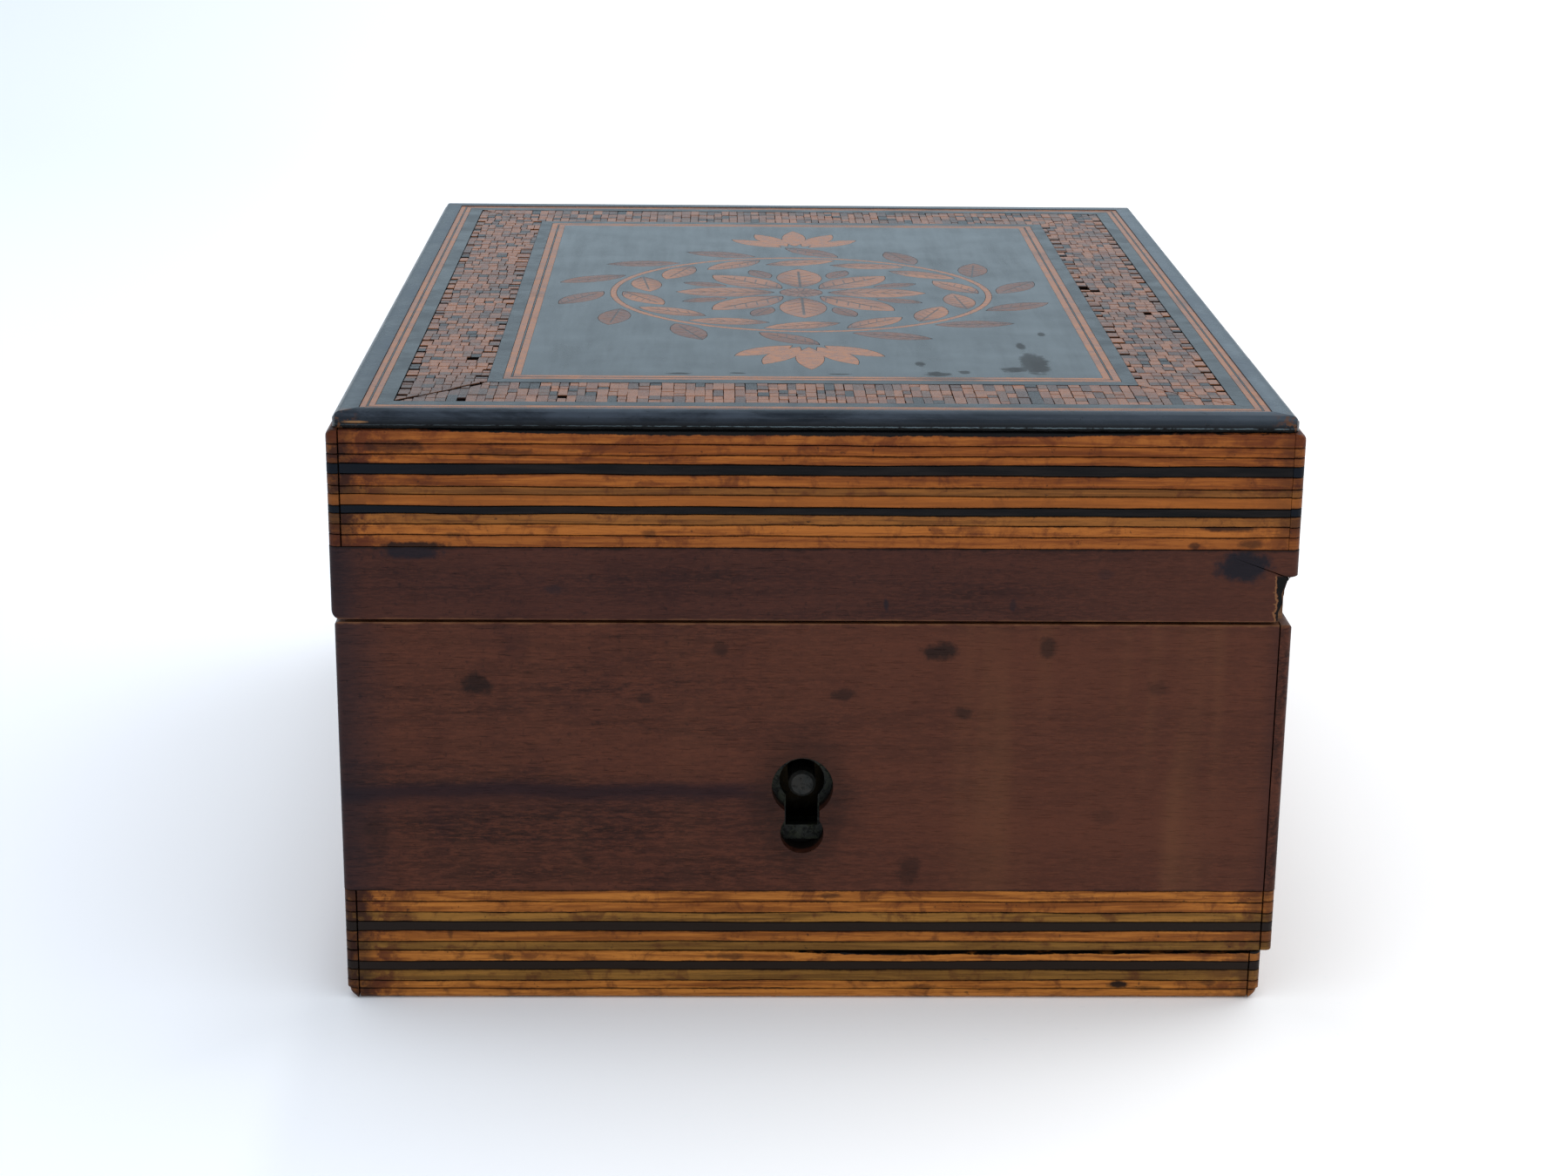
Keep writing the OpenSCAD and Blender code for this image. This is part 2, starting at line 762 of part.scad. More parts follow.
module edge_moulding() {
    h = sheet_t + moulding_rise;
    color(BLACK) for (side = [0 : 3]) {
        along = side % 2 == 0 ? body_w : body_d;
        across = (side % 2 == 0 ? lid_y : lid_x) - moulding_inset - moulding_w;
        intersection() {
            translate([0, 0, lid_top - over]) linear_extrude(h + 2 * over) intersection() {
                border_side(side, moulding_inset, moulding_w);
                plan(lid_x - moulding_inset, lid_y - moulding_inset, moulding_corner_r);
            }
            rotate(side * 90) translate([0, -across, lid_top]) rotate(180) along_x(along)
                intersection() {
                    moulding_section();
                    square([moulding_w, h]);
                }
        }
    }
}

// Two light strips with a dark line between them
module string_pair(inset, w) {
    strip_w = (w - string_line_w) / 2;
    border(inset, strip_w);
    border(inset + strip_w + string_line_w, strip_w);
}

module outer_string() {
    color(TAN) string_pair(outer_string_in, outer_string_w);
}

module outer_string_line() {
    color(BLACK) border(outer_string_in + (outer_string_w - string_line_w) / 2, string_line_w);
}

module outer_fillet() {
    color(BLACK) border(outer_fillet_in, outer_fillet_w);
}

module inner_fillet() {
    color(BLACK) border(inner_fillet_in, inner_fillet_w);
}

module inner_string() {
    color(TAN) string_pair(inner_string_in, inner_string_w);
}

module inner_string_line() {
    color(BLACK) border(inner_string_in + (inner_string_w - string_line_w) / 2, string_line_w);
}

// Dark blocks of one row of the mosaic, each smaller than its place by grow on every side
module dark_row(side, row, grow) {
    inset = mosaic_in + row * row_w;
    half = (side % 2 == 0 ? lid_x : lid_y) - inset - row_w - block_l;
    across = (side % 2 == 0 ? lid_y : lid_x) - inset;
    n = floor(2 * half / block_l);
    rotate(side * 90)
        for (i = [0 : n - 1])
            if (is_dark(side, row, i))
                translate([(i - n / 2) * block_l - grow, -across + inlay_gap / 2 - grow])
                    square([block_l + 2 * grow, row_w - inlay_gap + 2 * grow]);
}

module mosaic_light_blocks() {
    color(TAN) translate([0, 0, lid_top]) linear_extrude(sheet_t)
        for (side = [0 : 3], row = [0 : mosaic_rows - 1])
            difference() {
                border_side(side, mosaic_in + row * row_w, row_w);
                dark_row(side, row, inlay_gap / 2);
            }
}

module mosaic_dark_blocks() {
    color(BLACK) translate([0, 0, lid_top]) linear_extrude(sheet_t)
        for (side = [0 : 3], row = [0 : mosaic_rows - 1])
            dark_row(side, row, -inlay_gap / 2);
}

// Inlay of the lid's panel

// Pointed leaf along +X from the origin, its sides two arcs
module leaf(l, w, grow = 0) {
    half = l / 2 + 2 * grow;
    s = w / 2 + grow;
    r = (half * half + s * s) / (2 * s);
    translate([l / 2, 0]) intersection() {
        translate([0, r - s]) circle(r, $fn = 96);
        translate([0, s - r]) circle(r, $fn = 96);
    }
}

// Leaves along the wreath: side 1 outside the stem, side -1 inside it
module wreath_leaf_row(side, grow = 0) {
    for (i = [0 : leaf_pairs - 1])
        rotate(i * 360 / leaf_pairs) translate([wreath_r + side * (stem_w / 2 + leaf_gap), 0])
            rotate(90 - side * leaf_lean) leaf(leaf_l, leaf_w, grow);
}

module stem_ring(grow = 0) {
    difference() {
        circle(wreath_r + stem_w / 2 + grow, $fn = 96);
        circle(wreath_r - stem_w / 2 - grow, $fn = 96);
    }
}

module petal_ring(grow = 0) {
    for (i = [0 : petals - 1])
        rotate(i * 360 / petals) translate([eye_r + petal_gap, 0]) leaf(petal_l, petal_w, grow);
}

// Slim leaves between the petals' outer halves
module tip_ring(grow = 0) {
    for (i = [0 : petals - 1])
        rotate((i + 0.5) * 360 / petals) translate([eye_r + petal_gap + petal_l * tip_start, 0])
            leaf(tip_l, tip_w, grow);
}

// Fans of leaves in front of and behind the wreath, their middle leaves the longest
module palmette_pair(grow = 0) {
    for (s = [-1, 1], i = [0 : palm_leaves - 1]) {
        turn = i / (palm_leaves - 1) - 0.5;
        translate([0, s * (wreath_r + palm_gap - palm_root)]) rotate(s * 90 + turn * palm_fan)
            translate([palm_root, 0]) leaf(palm_leaf_l - abs(turn) * palm_leaf_drop, palm_leaf_w, grow);
    }
}

// Piece of the inlay: its drawing scaled to the panel and raised to the sheet's thickness
module inlaid() {
    translate([0, 0, lid_top]) linear_extrude(sheet_t) scale(inlay_fit) children();
}

module panel_ground() {
    g = inlay_gap / inlay_fit;
    color(BLACK) difference() {
        block([panel_in - lid_x, panel_in - lid_y, lid_top],
            [lid_x - panel_in, lid_y - panel_in, lid_top + sheet_t]);
        translate([0, 0, lid_top - over]) linear_extrude(sheet_t + 2 * over) scale(inlay_fit) {
            stem_ring(g);
            wreath_leaf_row(1, g);
            wreath_leaf_row(-1, g);
            petal_ring(g);
            tip_ring(g);
            circle(eye_r + g);
            palmette_pair(g);
        }
    }
}

module wreath_stem() {
    color(TAN) inlaid() stem_ring();
}

module wreath_light_leaves() {
    color(TAN) inlaid() wreath_leaf_row(-1);
}

module wreath_brown_leaves() {
    color(BROWN) inlaid() wreath_leaf_row(1);
}

module rosette_petals() {
    color(TAN) inlaid() petal_ring();
}

module rosette_tips() {
    color(BROWN) inlaid() tip_ring();
}

module rosette_eye() {
    color(BROWN) inlaid() circle(eye_r);
}

module palmettes() {
    color(TAN) inlaid() palmette_pair();
}

// Hinges

// Barrel piece along X about the hinge axis, from x, with a length
module knuckle(x, l, r) {
    translate([x, hinge_y, hinge_z]) rotate([0, 90, 0]) cylinder(r = r, h = l);
}

// Leaf of one hinge: up 1 for the lid, with the middle knuckle, -1 for the base, with the outer two
module hinge_leaf(up) {
    own = up > 0 ? [-knuckle_w / 2] : [-hinge_w / 2, knuckle_w / 2 + knuckle_gap];
    other = up > 0 ? [-hinge_w / 2 - over, knuckle_w / 2] : [-knuckle_w / 2 - knuckle_gap];
    own_w = up > 0 ? knuckle_w : knuckle_w - knuckle_gap;
    other_w = up > 0 ? knuckle_w + over : knuckle_w + 2 * knuckle_gap;
    z = up > 0 ? lid_z : base_h - leaf_t;
    difference() {
        union() {
            block([-hinge_w / 2, hinge_y - leaf_d, z], [hinge_w / 2, hinge_y, z + leaf_t]);
            for (x = own) knuckle(x, own_w, barrel_r);
        }
        for (x = other) knuckle(x, other_w, barrel_r + barrel_clear);
        knuckle(-hinge_w / 2 - over, hinge_w + 2 * over, hinge_pin_r + pin_clear);
        hinge_screw_places(up) screw(screw_clear);
    }
}

module at_hinges() {
    for (s = [-1, 1]) translate([s * hinge_spread / 2, 0, 0]) children();
}

module base_hinge_leaves() {
    color(BRASS) at_hinges() hinge_leaf(-1);
}

module lid_hinge_leaves() {
    color(BRASS) at_hinges() hinge_leaf(1);
}

module hinge_pins() {
    color(STEEL) at_hinges() knuckle(-hinge_w / 2, hinge_w, hinge_pin_r);
}

module base_hinge_screws() {
    color(BRASS) at_hinges() hinge_screw_places(-1) slotted_screw();
}

module lid_hinge_screws() {
    color(BRASS) at_hinges() hinge_screw_places(1) slotted_screw();
}

// Lock

module lock_backplate() {
    half = lock_w / 2 + ear_w;
    slot_x = staple_x - 2 * staple_clear;
    color(BRASS) difference() {
        translate([key_x, 0, 0]) union() {
            block([-half, lock_back, case_bottom - backplate_drop], [half, lock_back + plate_t, base_h]);
            block([-half, lock_front, case_top], [half, lock_back + plate_t, base_h]);
        }
        block([key_x + slot_x, lock_front + plate_t, case_top - over],
            [key_x + slot_x + staple_t + 4 * staple_clear, lock_back, base_h + over]);
        lock_screw_places() screw(screw_clear);
    }
}

module lock_cap() {
    color(BRASS) difference() {
        translate([key_x, 0, 0]) difference() {
            block([-lock_w / 2, lock_front, case_bottom], [lock_w / 2, lock_back, case_top]);
            block([-case_in, lock_front + plate_t, case_bottom + plate_t],
                [case_in, lock_back + over, case_top + over]);
        }
        translate([key_x, 0, key_z]) to_front(lock_front + plate_t + over, plate_t + 2 * over)
            cap_keyhole();
    }
}

module lock_drill_pin() {
    tip = -base_y + pin_setback;
    chamfer = 0.3;
    color(STEEL) translate([key_x, lock_back, key_z]) rotate([90, 0, 0]) {
        cylinder(r = drill_pin_r, h = lock_back - tip - chamfer);
        translate([0, 0, lock_back - tip - chamfer])
            cylinder(r1 = drill_pin_r, r2 = drill_pin_r - chamfer, h = chamfer);
    }
}

// Bolt: a bar with a notch for the key, two slots for its studs, and a horn that enters the staple
module lock_bolt() {
    color(BRASS) translate([key_x, lock_mid, 0]) difference() {
        union() {
            block([bolt_left, -bolt_t / 2, bolt_bottom], [bolt_right, bolt_t / 2, bolt_top]);
            block([post_x, -bolt_t / 2, bolt_top - over], [post_x + post_w, bolt_t / 2, horn_z + horn_h]);
            block([post_x, -horn_t / 2, horn_z],
                [post_x + post_w + bolt_travel, horn_t / 2, horn_z + horn_h]);
        }
        translate([-bolt_travel / 2, 0, 0]) to_front(bolt_t, 2 * bolt_t) {
            translate([-talon_w / 2, bolt_bottom - over]) square([talon_w, over + talon_h / 2]);
            translate([0, bolt_bottom + talon_h - talon_w / 2]) intersection() {
                circle(talon_w / 2);
                translate([-talon_w, 0]) square([2 * talon_w, talon_w]);
            }
        }
        for (x = stud_xs) stud_slot(x);
    }
}

module stud_slot(x) {
    r = stud_r + bolt_clear;
    to_front(bolt_t, 2 * bolt_t) {
        translate([x, bolt_mid]) circle(r);
        translate([x - bolt_travel, bolt_mid]) circle(r);
        translate([x - bolt_travel, bolt_mid - r]) square([bolt_travel, 2 * r]);
    }
}

module lock_guide_studs() {
    color(BRASS) for (x = stud_xs)
        translate([key_x + x, lock_back, bolt_mid]) rotate([90, 0, 0])
            cylinder(r = stud_r, h = lock_back - lock_front - plate_t);
}

// Leaf spring from the case's left side down onto the bolt
module lock_spring() {
    low_x = bolt_left + spring_in;
    color(STEEL) translate([key_x, lock_mid + spring_w / 2, 0]) to_front(0, spring_w)
        intersection() {
            translate([low_x, bolt_top + bolt_clear + spring_r]) difference() {
                circle(spring_r, $fn = 96);
                circle(spring_r - spring_t, $fn = 96);
            }
            translate([-case_in, bolt_top]) square([case_in + post_x - spring_play, spring_r / 2]);
        }
}

module lock_screws() {
    color(BRASS) lock_screw_places() slotted_screw();
}

// Places of the link plate's screws
module link_screw_places() {
    for (s = [-1, 1])
        translate([key_x + s * link_screw_x, lock_mid, lid_z]) rotate([180, 0, 0]) children();
}

// Plate under the lid's front rail, with the staple that the bolt's horn enters
module link_plate() {
    low = horn_z - staple_window - staple_foot;
    color(BRASS) difference() {
        union() {
            block([key_x - link_w / 2, lock_mid - link_d / 2, lid_z],
                [key_x + link_w / 2, lock_mid + link_d / 2, lid_z + plate_t]);
            block([key_x + staple_x, lock_mid - staple_w / 2, low],
                [key_x + staple_x + staple_t, lock_mid + staple_w / 2, lid_z + plate_t / 2]);
        }
        block([key_x + staple_x - over, lock_mid - horn_t / 2 - staple_clear, low + staple_foot],
            [key_x + staple_x + staple_t + over, lock_mid + horn_t / 2 + staple_clear,
            horn_z + horn_h + staple_window]);
        link_screw_places() screw(screw_clear);
    }
}

module link_plate_screws() {
    color(BRASS) link_screw_places() slotted_screw();
}

base_front_wall();
base_back_wall();
base_left_wall();
base_right_wall();
bottom_board();
base_front_veneer();
base_back_veneer();
base_left_veneer();
base_right_veneer();
base_light_strips();
base_olive_strips();
base_black_strips();
foot_light_strips();
foot_olive_strips();
foot_black_strips();
lid_front_rail();
lid_back_rail();
lid_left_rail();
lid_right_rail();
lid_top_board();
lid_front_veneer();
lid_back_veneer();
lid_left_veneer();
lid_right_veneer();
lid_light_strips();
lid_olive_strips();
lid_black_strips();
edge_moulding();
outer_string();
outer_string_line();
outer_fillet();
mosaic_light_blocks();
mosaic_dark_blocks();
inner_fillet();
inner_string();
inner_string_line();
panel_ground();
wreath_stem();
wreath_light_leaves();
wreath_brown_leaves();
rosette_petals();
rosette_tips();
rosette_eye();
palmettes();
base_hinge_leaves();
lid_hinge_leaves();
hinge_pins();
base_hinge_screws();
lid_hinge_screws();
lock_backplate();
lock_cap();
lock_drill_pin();
lock_bolt();
lock_guide_studs();
lock_spring();
lock_screws();
link_plate();
link_plate_screws();
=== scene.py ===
"""Looks of the small inlaid keepsake box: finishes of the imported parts, uneven strips and mosaic."""

import json
import math
import random

import bmesh
import bpy
from mathutils import Matrix, Vector, noise


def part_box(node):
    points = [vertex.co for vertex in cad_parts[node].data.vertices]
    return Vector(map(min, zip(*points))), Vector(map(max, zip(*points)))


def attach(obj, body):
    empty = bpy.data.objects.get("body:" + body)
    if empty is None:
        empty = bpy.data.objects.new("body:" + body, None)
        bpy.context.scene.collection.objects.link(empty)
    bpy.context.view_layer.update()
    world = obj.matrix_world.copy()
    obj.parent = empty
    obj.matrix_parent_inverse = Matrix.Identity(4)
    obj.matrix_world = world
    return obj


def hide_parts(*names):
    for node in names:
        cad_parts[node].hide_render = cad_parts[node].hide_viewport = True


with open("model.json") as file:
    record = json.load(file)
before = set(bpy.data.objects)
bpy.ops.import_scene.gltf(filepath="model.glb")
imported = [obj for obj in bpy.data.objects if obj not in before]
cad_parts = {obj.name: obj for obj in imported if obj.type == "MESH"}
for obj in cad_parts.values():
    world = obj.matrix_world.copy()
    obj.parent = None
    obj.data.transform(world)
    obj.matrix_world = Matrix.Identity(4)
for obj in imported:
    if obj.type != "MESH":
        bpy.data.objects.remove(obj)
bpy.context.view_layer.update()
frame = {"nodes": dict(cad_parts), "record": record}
MM = 0.001

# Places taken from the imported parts, in metres
BASE_VENEER_LOW, BASE_VENEER_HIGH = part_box("base_front_veneer")
LID_VENEER_LOW, LID_VENEER_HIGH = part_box("lid_front_veneer")
BOARD_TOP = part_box("lid_top_board")[1].z
SHEET_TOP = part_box("panel_ground")[1].z
LID_HALF_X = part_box("lid_light_strips")[1].x
LID_HALF_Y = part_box("lid_light_strips")[1].y
FOOT_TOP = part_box("foot_light_strips")[1].z
MOSAIC_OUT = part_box("mosaic_light_blocks")[1]
MOSAIC_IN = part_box("inner_fillet")[1]

# Places for the materials, in millimetres: keyhole, and the moulding's bead
KEY_X = (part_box("lock_drill_pin")[0].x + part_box("lock_drill_pin")[1].x) / 2 / MM
KEY_Z = (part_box("lock_drill_pin")[0].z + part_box("lock_drill_pin")[1].z) / 2 / MM
KEY_MIDDLE = (KEY_X, KEY_Z - 1.5)
BEAD_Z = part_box("edge_moulding")[0].z / MM + 0.36
# The lid's broken corner starts here
CHIP_X = 47.8
CHIP_TOP = 48.1
# Depths where the front face's marks and the lock's dirt end
FRONT_SKIN = -62.0
LOCK_DEPTH = -50.0
# The long crack in the foot band starts here
CRACK_X = -9.0

NODE_BODY = {node: body for body, nodes in frame["record"]["behaviour"]["bodies"].items() for node in nodes}


def srgb(r, g, b):
    """Linear colour of an 8-bit sRGB one."""
    def one(c):
        c /= 255
        return c / 12.92 if c <= 0.04045 else ((c + 0.055) / 1.055) ** 2.4
    return (one(r), one(g), one(b), 1.0)


class Nodes:
    """A node tree, built in short calls."""

    def __init__(self, tree):
        self.tree = tree
        self.nodes = tree.nodes

    def add(self, kind, inputs=None, **settings):
        """Adds a node, with values or links by its inputs' names or numbers, and returns its outputs."""
        node = self.nodes.new(kind)
        for key, value in settings.items():
            setattr(node, key, value)
        for key, value in (inputs or {}).items():
            self.feed(node.inputs[key], value)
        return node.outputs

    def link(self, source, socket):
        self.tree.links.new(source, socket)

    def feed(self, socket, value):
        """Links an output, or sets a number, or a colour: 8-bit sRGB if it has three parts, else linear."""
        if isinstance(value, bpy.types.NodeSocket):
            self.link(value, socket)
        else:
            is_srgb = socket.type == "RGBA" and len(value) == 3
            socket.default_value = srgb(*value) if is_srgb else value

    def math(self, operation, a, b=0.0):
        return self.add("ShaderNodeMath", {0: a, 1: b}, operation=operation)[0]

    def plus(self, a, b, share=None):
        """Sum of a and b, or of a and a share of b."""
        return self.math("ADD", a, b if share is None else self.times(b, share))

    def minus(self, a, b):
        return self.math("SUBTRACT", a, b)

    def times(self, a, b):
        return self.math("MULTIPLY", a, b)

    def most(self, a, b):
        return self.math("MAXIMUM", a, b)

    def absolute(self, value):
        return self.math("ABSOLUTE", value)

    def step(self, value, low, high, to_low=0.0, to_high=1.0):
        """Smooth step of a value between two edges."""
        inputs = {"Value": value, "From Min": low, "From Max": high, "To Min": to_low, "To Max": to_high}
        return self.add("ShaderNodeMapRange", inputs, interpolation_type="SMOOTHSTEP")[0]

    def fall(self, value, low, high, top=1.0):
        """Smooth step down to 0."""
        return self.step(value, low, high, top, 0.0)

    def mix(self, factor, a, b):
        return self.add("ShaderNodeMix", {0: factor, 6: a, 7: b}, data_type="RGBA")[2]

    def to_cell_middle(self, value):
        """Distance from the middle of each whole step of a value."""
        return self.absolute(self.plus(self.math("FRACT", value), -0.5))


class Graph(Nodes):
    """Nodes and colour of a material, with positions in millimetres of the box's own frame."""

    APART = 97.0

    def __init__(self, name):
        self.material = bpy.data.materials.new(name)
        self.material.use_nodes = True
        super().__init__(self.material.node_tree)
        self.shader = self.nodes["Principled BSDF"]
        inputs = {0: self.add("ShaderNodeTexCoord")["Object"], "Scale": 1 / MM}
        self.place = self.add("ShaderNodeVectorMath", inputs, operation="SCALE")[0]
        self.x, self.y, self.z = self.add("ShaderNodeSeparateXYZ", {0: self.place})
        self.color = None

    def attribute(self, name):
        return self.add("ShaderNodeAttribute", attribute_name=name)["Fac"]

    def stretch(self, x, y, z, shift=(0, 0, 0)):
        """Position with each axis scaled, and moved by shift."""
        return self.add("ShaderNodeMapping", {"Vector": self.place, "Location": shift, "Scale": (x, y, z)})[0]

    def apart(self, vector, tone):
        """A position moved far away by a piece's tone, so that other pieces get other grain."""
        far = self.times(tone, self.APART)
        return self.add("ShaderNodeVectorMath", {0: vector, 1: far}, operation="ADD")[0]

    def noise(self, vector, scale=1.0, detail=3.0, rough=0.55, warp=0.0):
        inputs = {"Vector": vector, "Scale": scale, "Detail": detail, "Roughness": rough, "Distortion": warp}
        return self.add("ShaderNodeTexNoise", inputs)["Fac"]

    def grain(self, x, y, z, detail=3.0, rough=0.55, warp=0.0):
        """Noise with its own size on each axis."""
        return self.noise(self.stretch(x, y, z), 1.0, detail, rough, warp)

    def cloud(self, scale, detail=3.0, rough=0.55, warp=0.0, tone=None):
        """Noise of the same size on every axis."""
        vector = self.place if tone is None else self.apart(self.place, tone)
        return self.noise(vector, scale, detail, rough, warp)

    def specks(self, scale, detail, rough, low, high):
        """Step of a noise, which leaves its peaks."""
        return self.step(self.cloud(scale, detail, rough), low, high)

    def ragged(self, width, scale, detail, rough=0.55, tone=None):
        """An uneven offset to either side of 0."""
        return self.times(self.plus(self.cloud(scale, detail, rough, 0.0, tone), -0.5), width)

    def spot(self, u, v, place, size, soft=0.35, ragged=0.9):
        """1 inside an uneven spot in the plane of u and v, falling to 0 outside it."""
        across = self.math("DIVIDE", self.minus(u, place[0]), size[0])
        up = self.math("DIVIDE", self.minus(v, place[1]), size[1])
        far = self.math("SQRT", self.plus(self.times(across, across), self.times(up, up)))
        return self.fall(self.plus(far, self.ragged(ragged, 0.9, 4.0, 0.6)), 1 - soft, 1 + soft)

    def ground(self, value, low, high, a, b):
        """First colour, from a to b as a value goes from low to high."""
        self.color = self.mix(self.step(value, low, high), a, b)

    def coat(self, mask, tint, strength=None):
        """Lays a tint over the colour so far, where the mask is."""
        factor = mask if strength is None else self.times(mask, strength)
        self.color = self.mix(factor, self.color, tint)

    def marks(self, marks, tint, soft, ragged, within=None):
        """Uneven marks on the front, each an X, Z, half width, half height and strength."""
        for x, z, half_w, half_h, strength in marks:
            mark = self.spot(self.x, self.z, (x, z), (half_w, half_h), soft, ragged)
            self.coat(mark if within is None else self.times(mark, within), tint, strength)

    def bump(self, height, distance, under=None):
        """Bump from a height in units of distance, in millimetres."""
        inputs = {"Strength": 1.0, "Distance": distance * MM, "Height": height}
        if under is not None:
            inputs["Normal"] = under
        return self.add("ShaderNodeBump", inputs)[0]

    def done(self, rough, normal=None, gloss=0.5, **more):
        """Feeds the shader with the colour so far and the rest."""
        inputs = {"Base_Color": self.color, "Roughness": rough, "Specular_IOR_Level": gloss, **more}
        for key, value in inputs.items():
            self.feed(self.shader.inputs[key.replace("_", " ")], value)
        if normal is not None:
            self.link(normal, self.shader.inputs["Normal"])
        return self.material


# Walnut veneers

WALNUT_DARK = (38, 20, 16)
WALNUT_MID = (72, 39, 29)
WALNUT_RED = (84, 46, 32)
WALNUT_STREAK = (36, 20, 24)
WALNUT_GRIME = (16, 11, 11)
WALNUT_BLUE = (22, 22, 30)
WALNUT_PALE = (112, 74, 47)
EDGE_SHEEN = (72, 84, 92)
CORE_PALE = (132, 92, 58)
CHIP_BLACK = (8, 7, 7)

# Small dark marks on the fronts: X, Z, half width, half height, strength
BASE_FRONT_MARKS = [
    (-35.3, 35.7, 1.5, 1.1, 0.75), (-17.7, 34.3, 0.8, 0.6, 0.5), (-10.0, 39.7, 0.8, 0.7, 0.5),
    (3.0, 34.7, 1.1, 0.6, 0.6), (13.0, 39.5, 1.8, 0.9, 0.8), (24.3, 40.0, 0.8, 1.0, 0.6),
    (15.7, 32.7, 0.9, 0.6, 0.55), (10.3, 15.0, 1.2, 1.6, 0.5), (-46.0, 19.0, 1.2, 2.2, 0.3),
    (-24.0, 16.5, 1.0, 0.6, 0.35), (36.0, 35.5, 1.2, 0.7, 0.35), (31.0, 21.0, 1.3, 0.9, 0.25),
]
LID_FRONT_MARKS = [
    (44.2, 48.9, 2.7, 1.5, 0.95), (-41.5, 50.2, 3.2, 0.8, 0.85), (7.3, 44.7, 0.25, 0.7, 0.7),
    (20.5, 44.6, 0.3, 0.6, 0.45), (-27.0, 46.2, 0.9, 0.5, 0.4), (30.0, 48.0, 0.8, 0.5, 0.3),
]


def walnut_ground(g, along):
    """Grain of a walnut veneer in the graph's colour. Returns its roughness and height."""
    x, y = (0.045, 1.0) if along == "x" else (1.0, 0.045)
    fine_x, fine_y = (0.42, 1.0) if along == "x" else (1.0, 0.42)
    fibre = g.grain(x, y, 1.25, 7.0, 0.68, 0.35)
    wave = g.grain(x * 0.3, y * 0.1, 0.16, 3.0, 0.5, 0.6)
    pores = g.step(g.grain(fine_x, fine_y, 9.0, 2.0, 0.5), 0.6, 0.74)
    fleck = g.grain(2.2 * fine_x, 2.2 * fine_y, 4.5, 4.0, 0.7)
    blot = g.grain(0.8 * fine_x, 0.8 * fine_y, 1.4, 5.0, 0.72)
    mottle = g.cloud(0.16, 4.0, 0.6)
    g.ground(fibre, 0.34, 0.66, WALNUT_DARK, WALNUT_MID)
    g.coat(g.step(fleck, 0.48, 0.62), WALNUT_RED, 0.7)
    g.coat(g.fall(fleck, 0.36, 0.5), WALNUT_DARK, 0.75)
    g.coat(g.fall(blot, 0.36, 0.5), WALNUT_DARK, 0.55)
    g.coat(g.step(wave, 0.4, 0.66), WALNUT_RED, 0.55)
    g.coat(g.step(mottle, 0.5, 0.78), WALNUT_STREAK, 0.4)
    g.coat(g.specks(1.7, 3.0, 0.6, 0.56, 0.74), WALNUT_GRIME, 0.45)
    g.coat(pores, WALNUT_GRIME, 0.45)
    height = g.plus(g.times(fibre, 0.6), pores, -0.7)
    rough = g.plus(g.step(mottle, 0.3, 0.7, 0.36, 0.5), pores, 0.12)
    return rough, height


def edge_wear(g, z, reach, strength, tint=WALNUT_PALE):
    """Worn or dirty line along a horizontal edge at height z in metres, over a reach in millimetres."""
    uneven = g.times(g.plus(g.cloud(0.5, 4.0, 0.65), -0.45), reach * 2.5)
    far = g.absolute(g.minus(g.z, z / MM))
    g.coat(g.fall(g.plus(far, uneven), 0.0, reach), tint, strength)


def arris_sheen(g, low, wide, start):
    """Pale sheen on the front of a veneer's worn left arris, whose lowest corner is low."""
    x, y = low.x / MM, low.y / MM
    front = g.fall(g.y, y + start, y + start + 0.15)
    g.coat(g.times(g.fall(g.x, x, x + wide, 0.6), front), EDGE_SHEEN)


def finish_walnut(g, rough, height):
    """Thin varnish with dust in it."""
    dust = g.cloud(3.5, 2.0, 0.6)
    return g.done(rough, g.bump(g.plus(height, dust, 0.15), 0.035), gloss=0.12)


def walnut_front():
    """Front of the base: redder to the right, bluish at its left end, with a dark streak at the keyhole."""
    g = Graph("walnut_front")
    rough, height = walnut_ground(g, "x")
    g.coat(g.step(g.plus(g.x, g.ragged(40.0, 0.06, 2.0)), -35.0, 30.0, 0.0, 0.55), WALNUT_RED)
    bands = g.grain(0.16, 0.1, 0.012, 2.0, 0.5, 0.4)
    g.coat(g.times(g.step(bands, 0.5, 0.75), g.step(g.x, 5.0, 30.0, 0.05, 0.3)), WALNUT_PALE)
    drift = g.times(g.plus(g.grain(0.05, 0, 0, 3.0), -0.5), 3.0)
    line = g.plus(g.minus(g.z, KEY_Z - 0.5), drift)
    streak = g.fall(g.absolute(line), 0.15, 1.5)
    g.coat(g.times(streak, g.fall(g.x, -9.0, -3.0, 0.85)), WALNUT_STREAK)
    below = g.times(g.step(line, -5.0, 0.0), g.fall(line, 0.0, 0.8))
    g.coat(g.times(below, g.fall(g.x, -20.0, 0.0, 0.3)), WALNUT_STREAK)
    g.coat(g.fall(g.plus(g.x, drift), -49.0, -43.0, 0.6), WALNUT_BLUE)
    g.coat(g.step(g.x, 46.5, 49.2, 0.0, 0.5), WALNUT_STREAK)
    arris_sheen(g, BASE_VENEER_LOW, 0.25, 0.05)
    g.marks(BASE_FRONT_MARKS, WALNUT_GRIME, 0.45, 1.9)
    g.coat(g.spot(g.x, g.z, KEY_MIDDLE, (5.2, 7.2), 0.4, 0.5), WALNUT_GRIME, 0.5)
    edge_wear(g, BASE_VENEER_HIGH.z, 0.32, 0.75)
    edge_wear(g, BASE_VENEER_LOW.z, 0.3, 0.5, WALNUT_GRIME)
    return finish_walnut(g, rough, height)


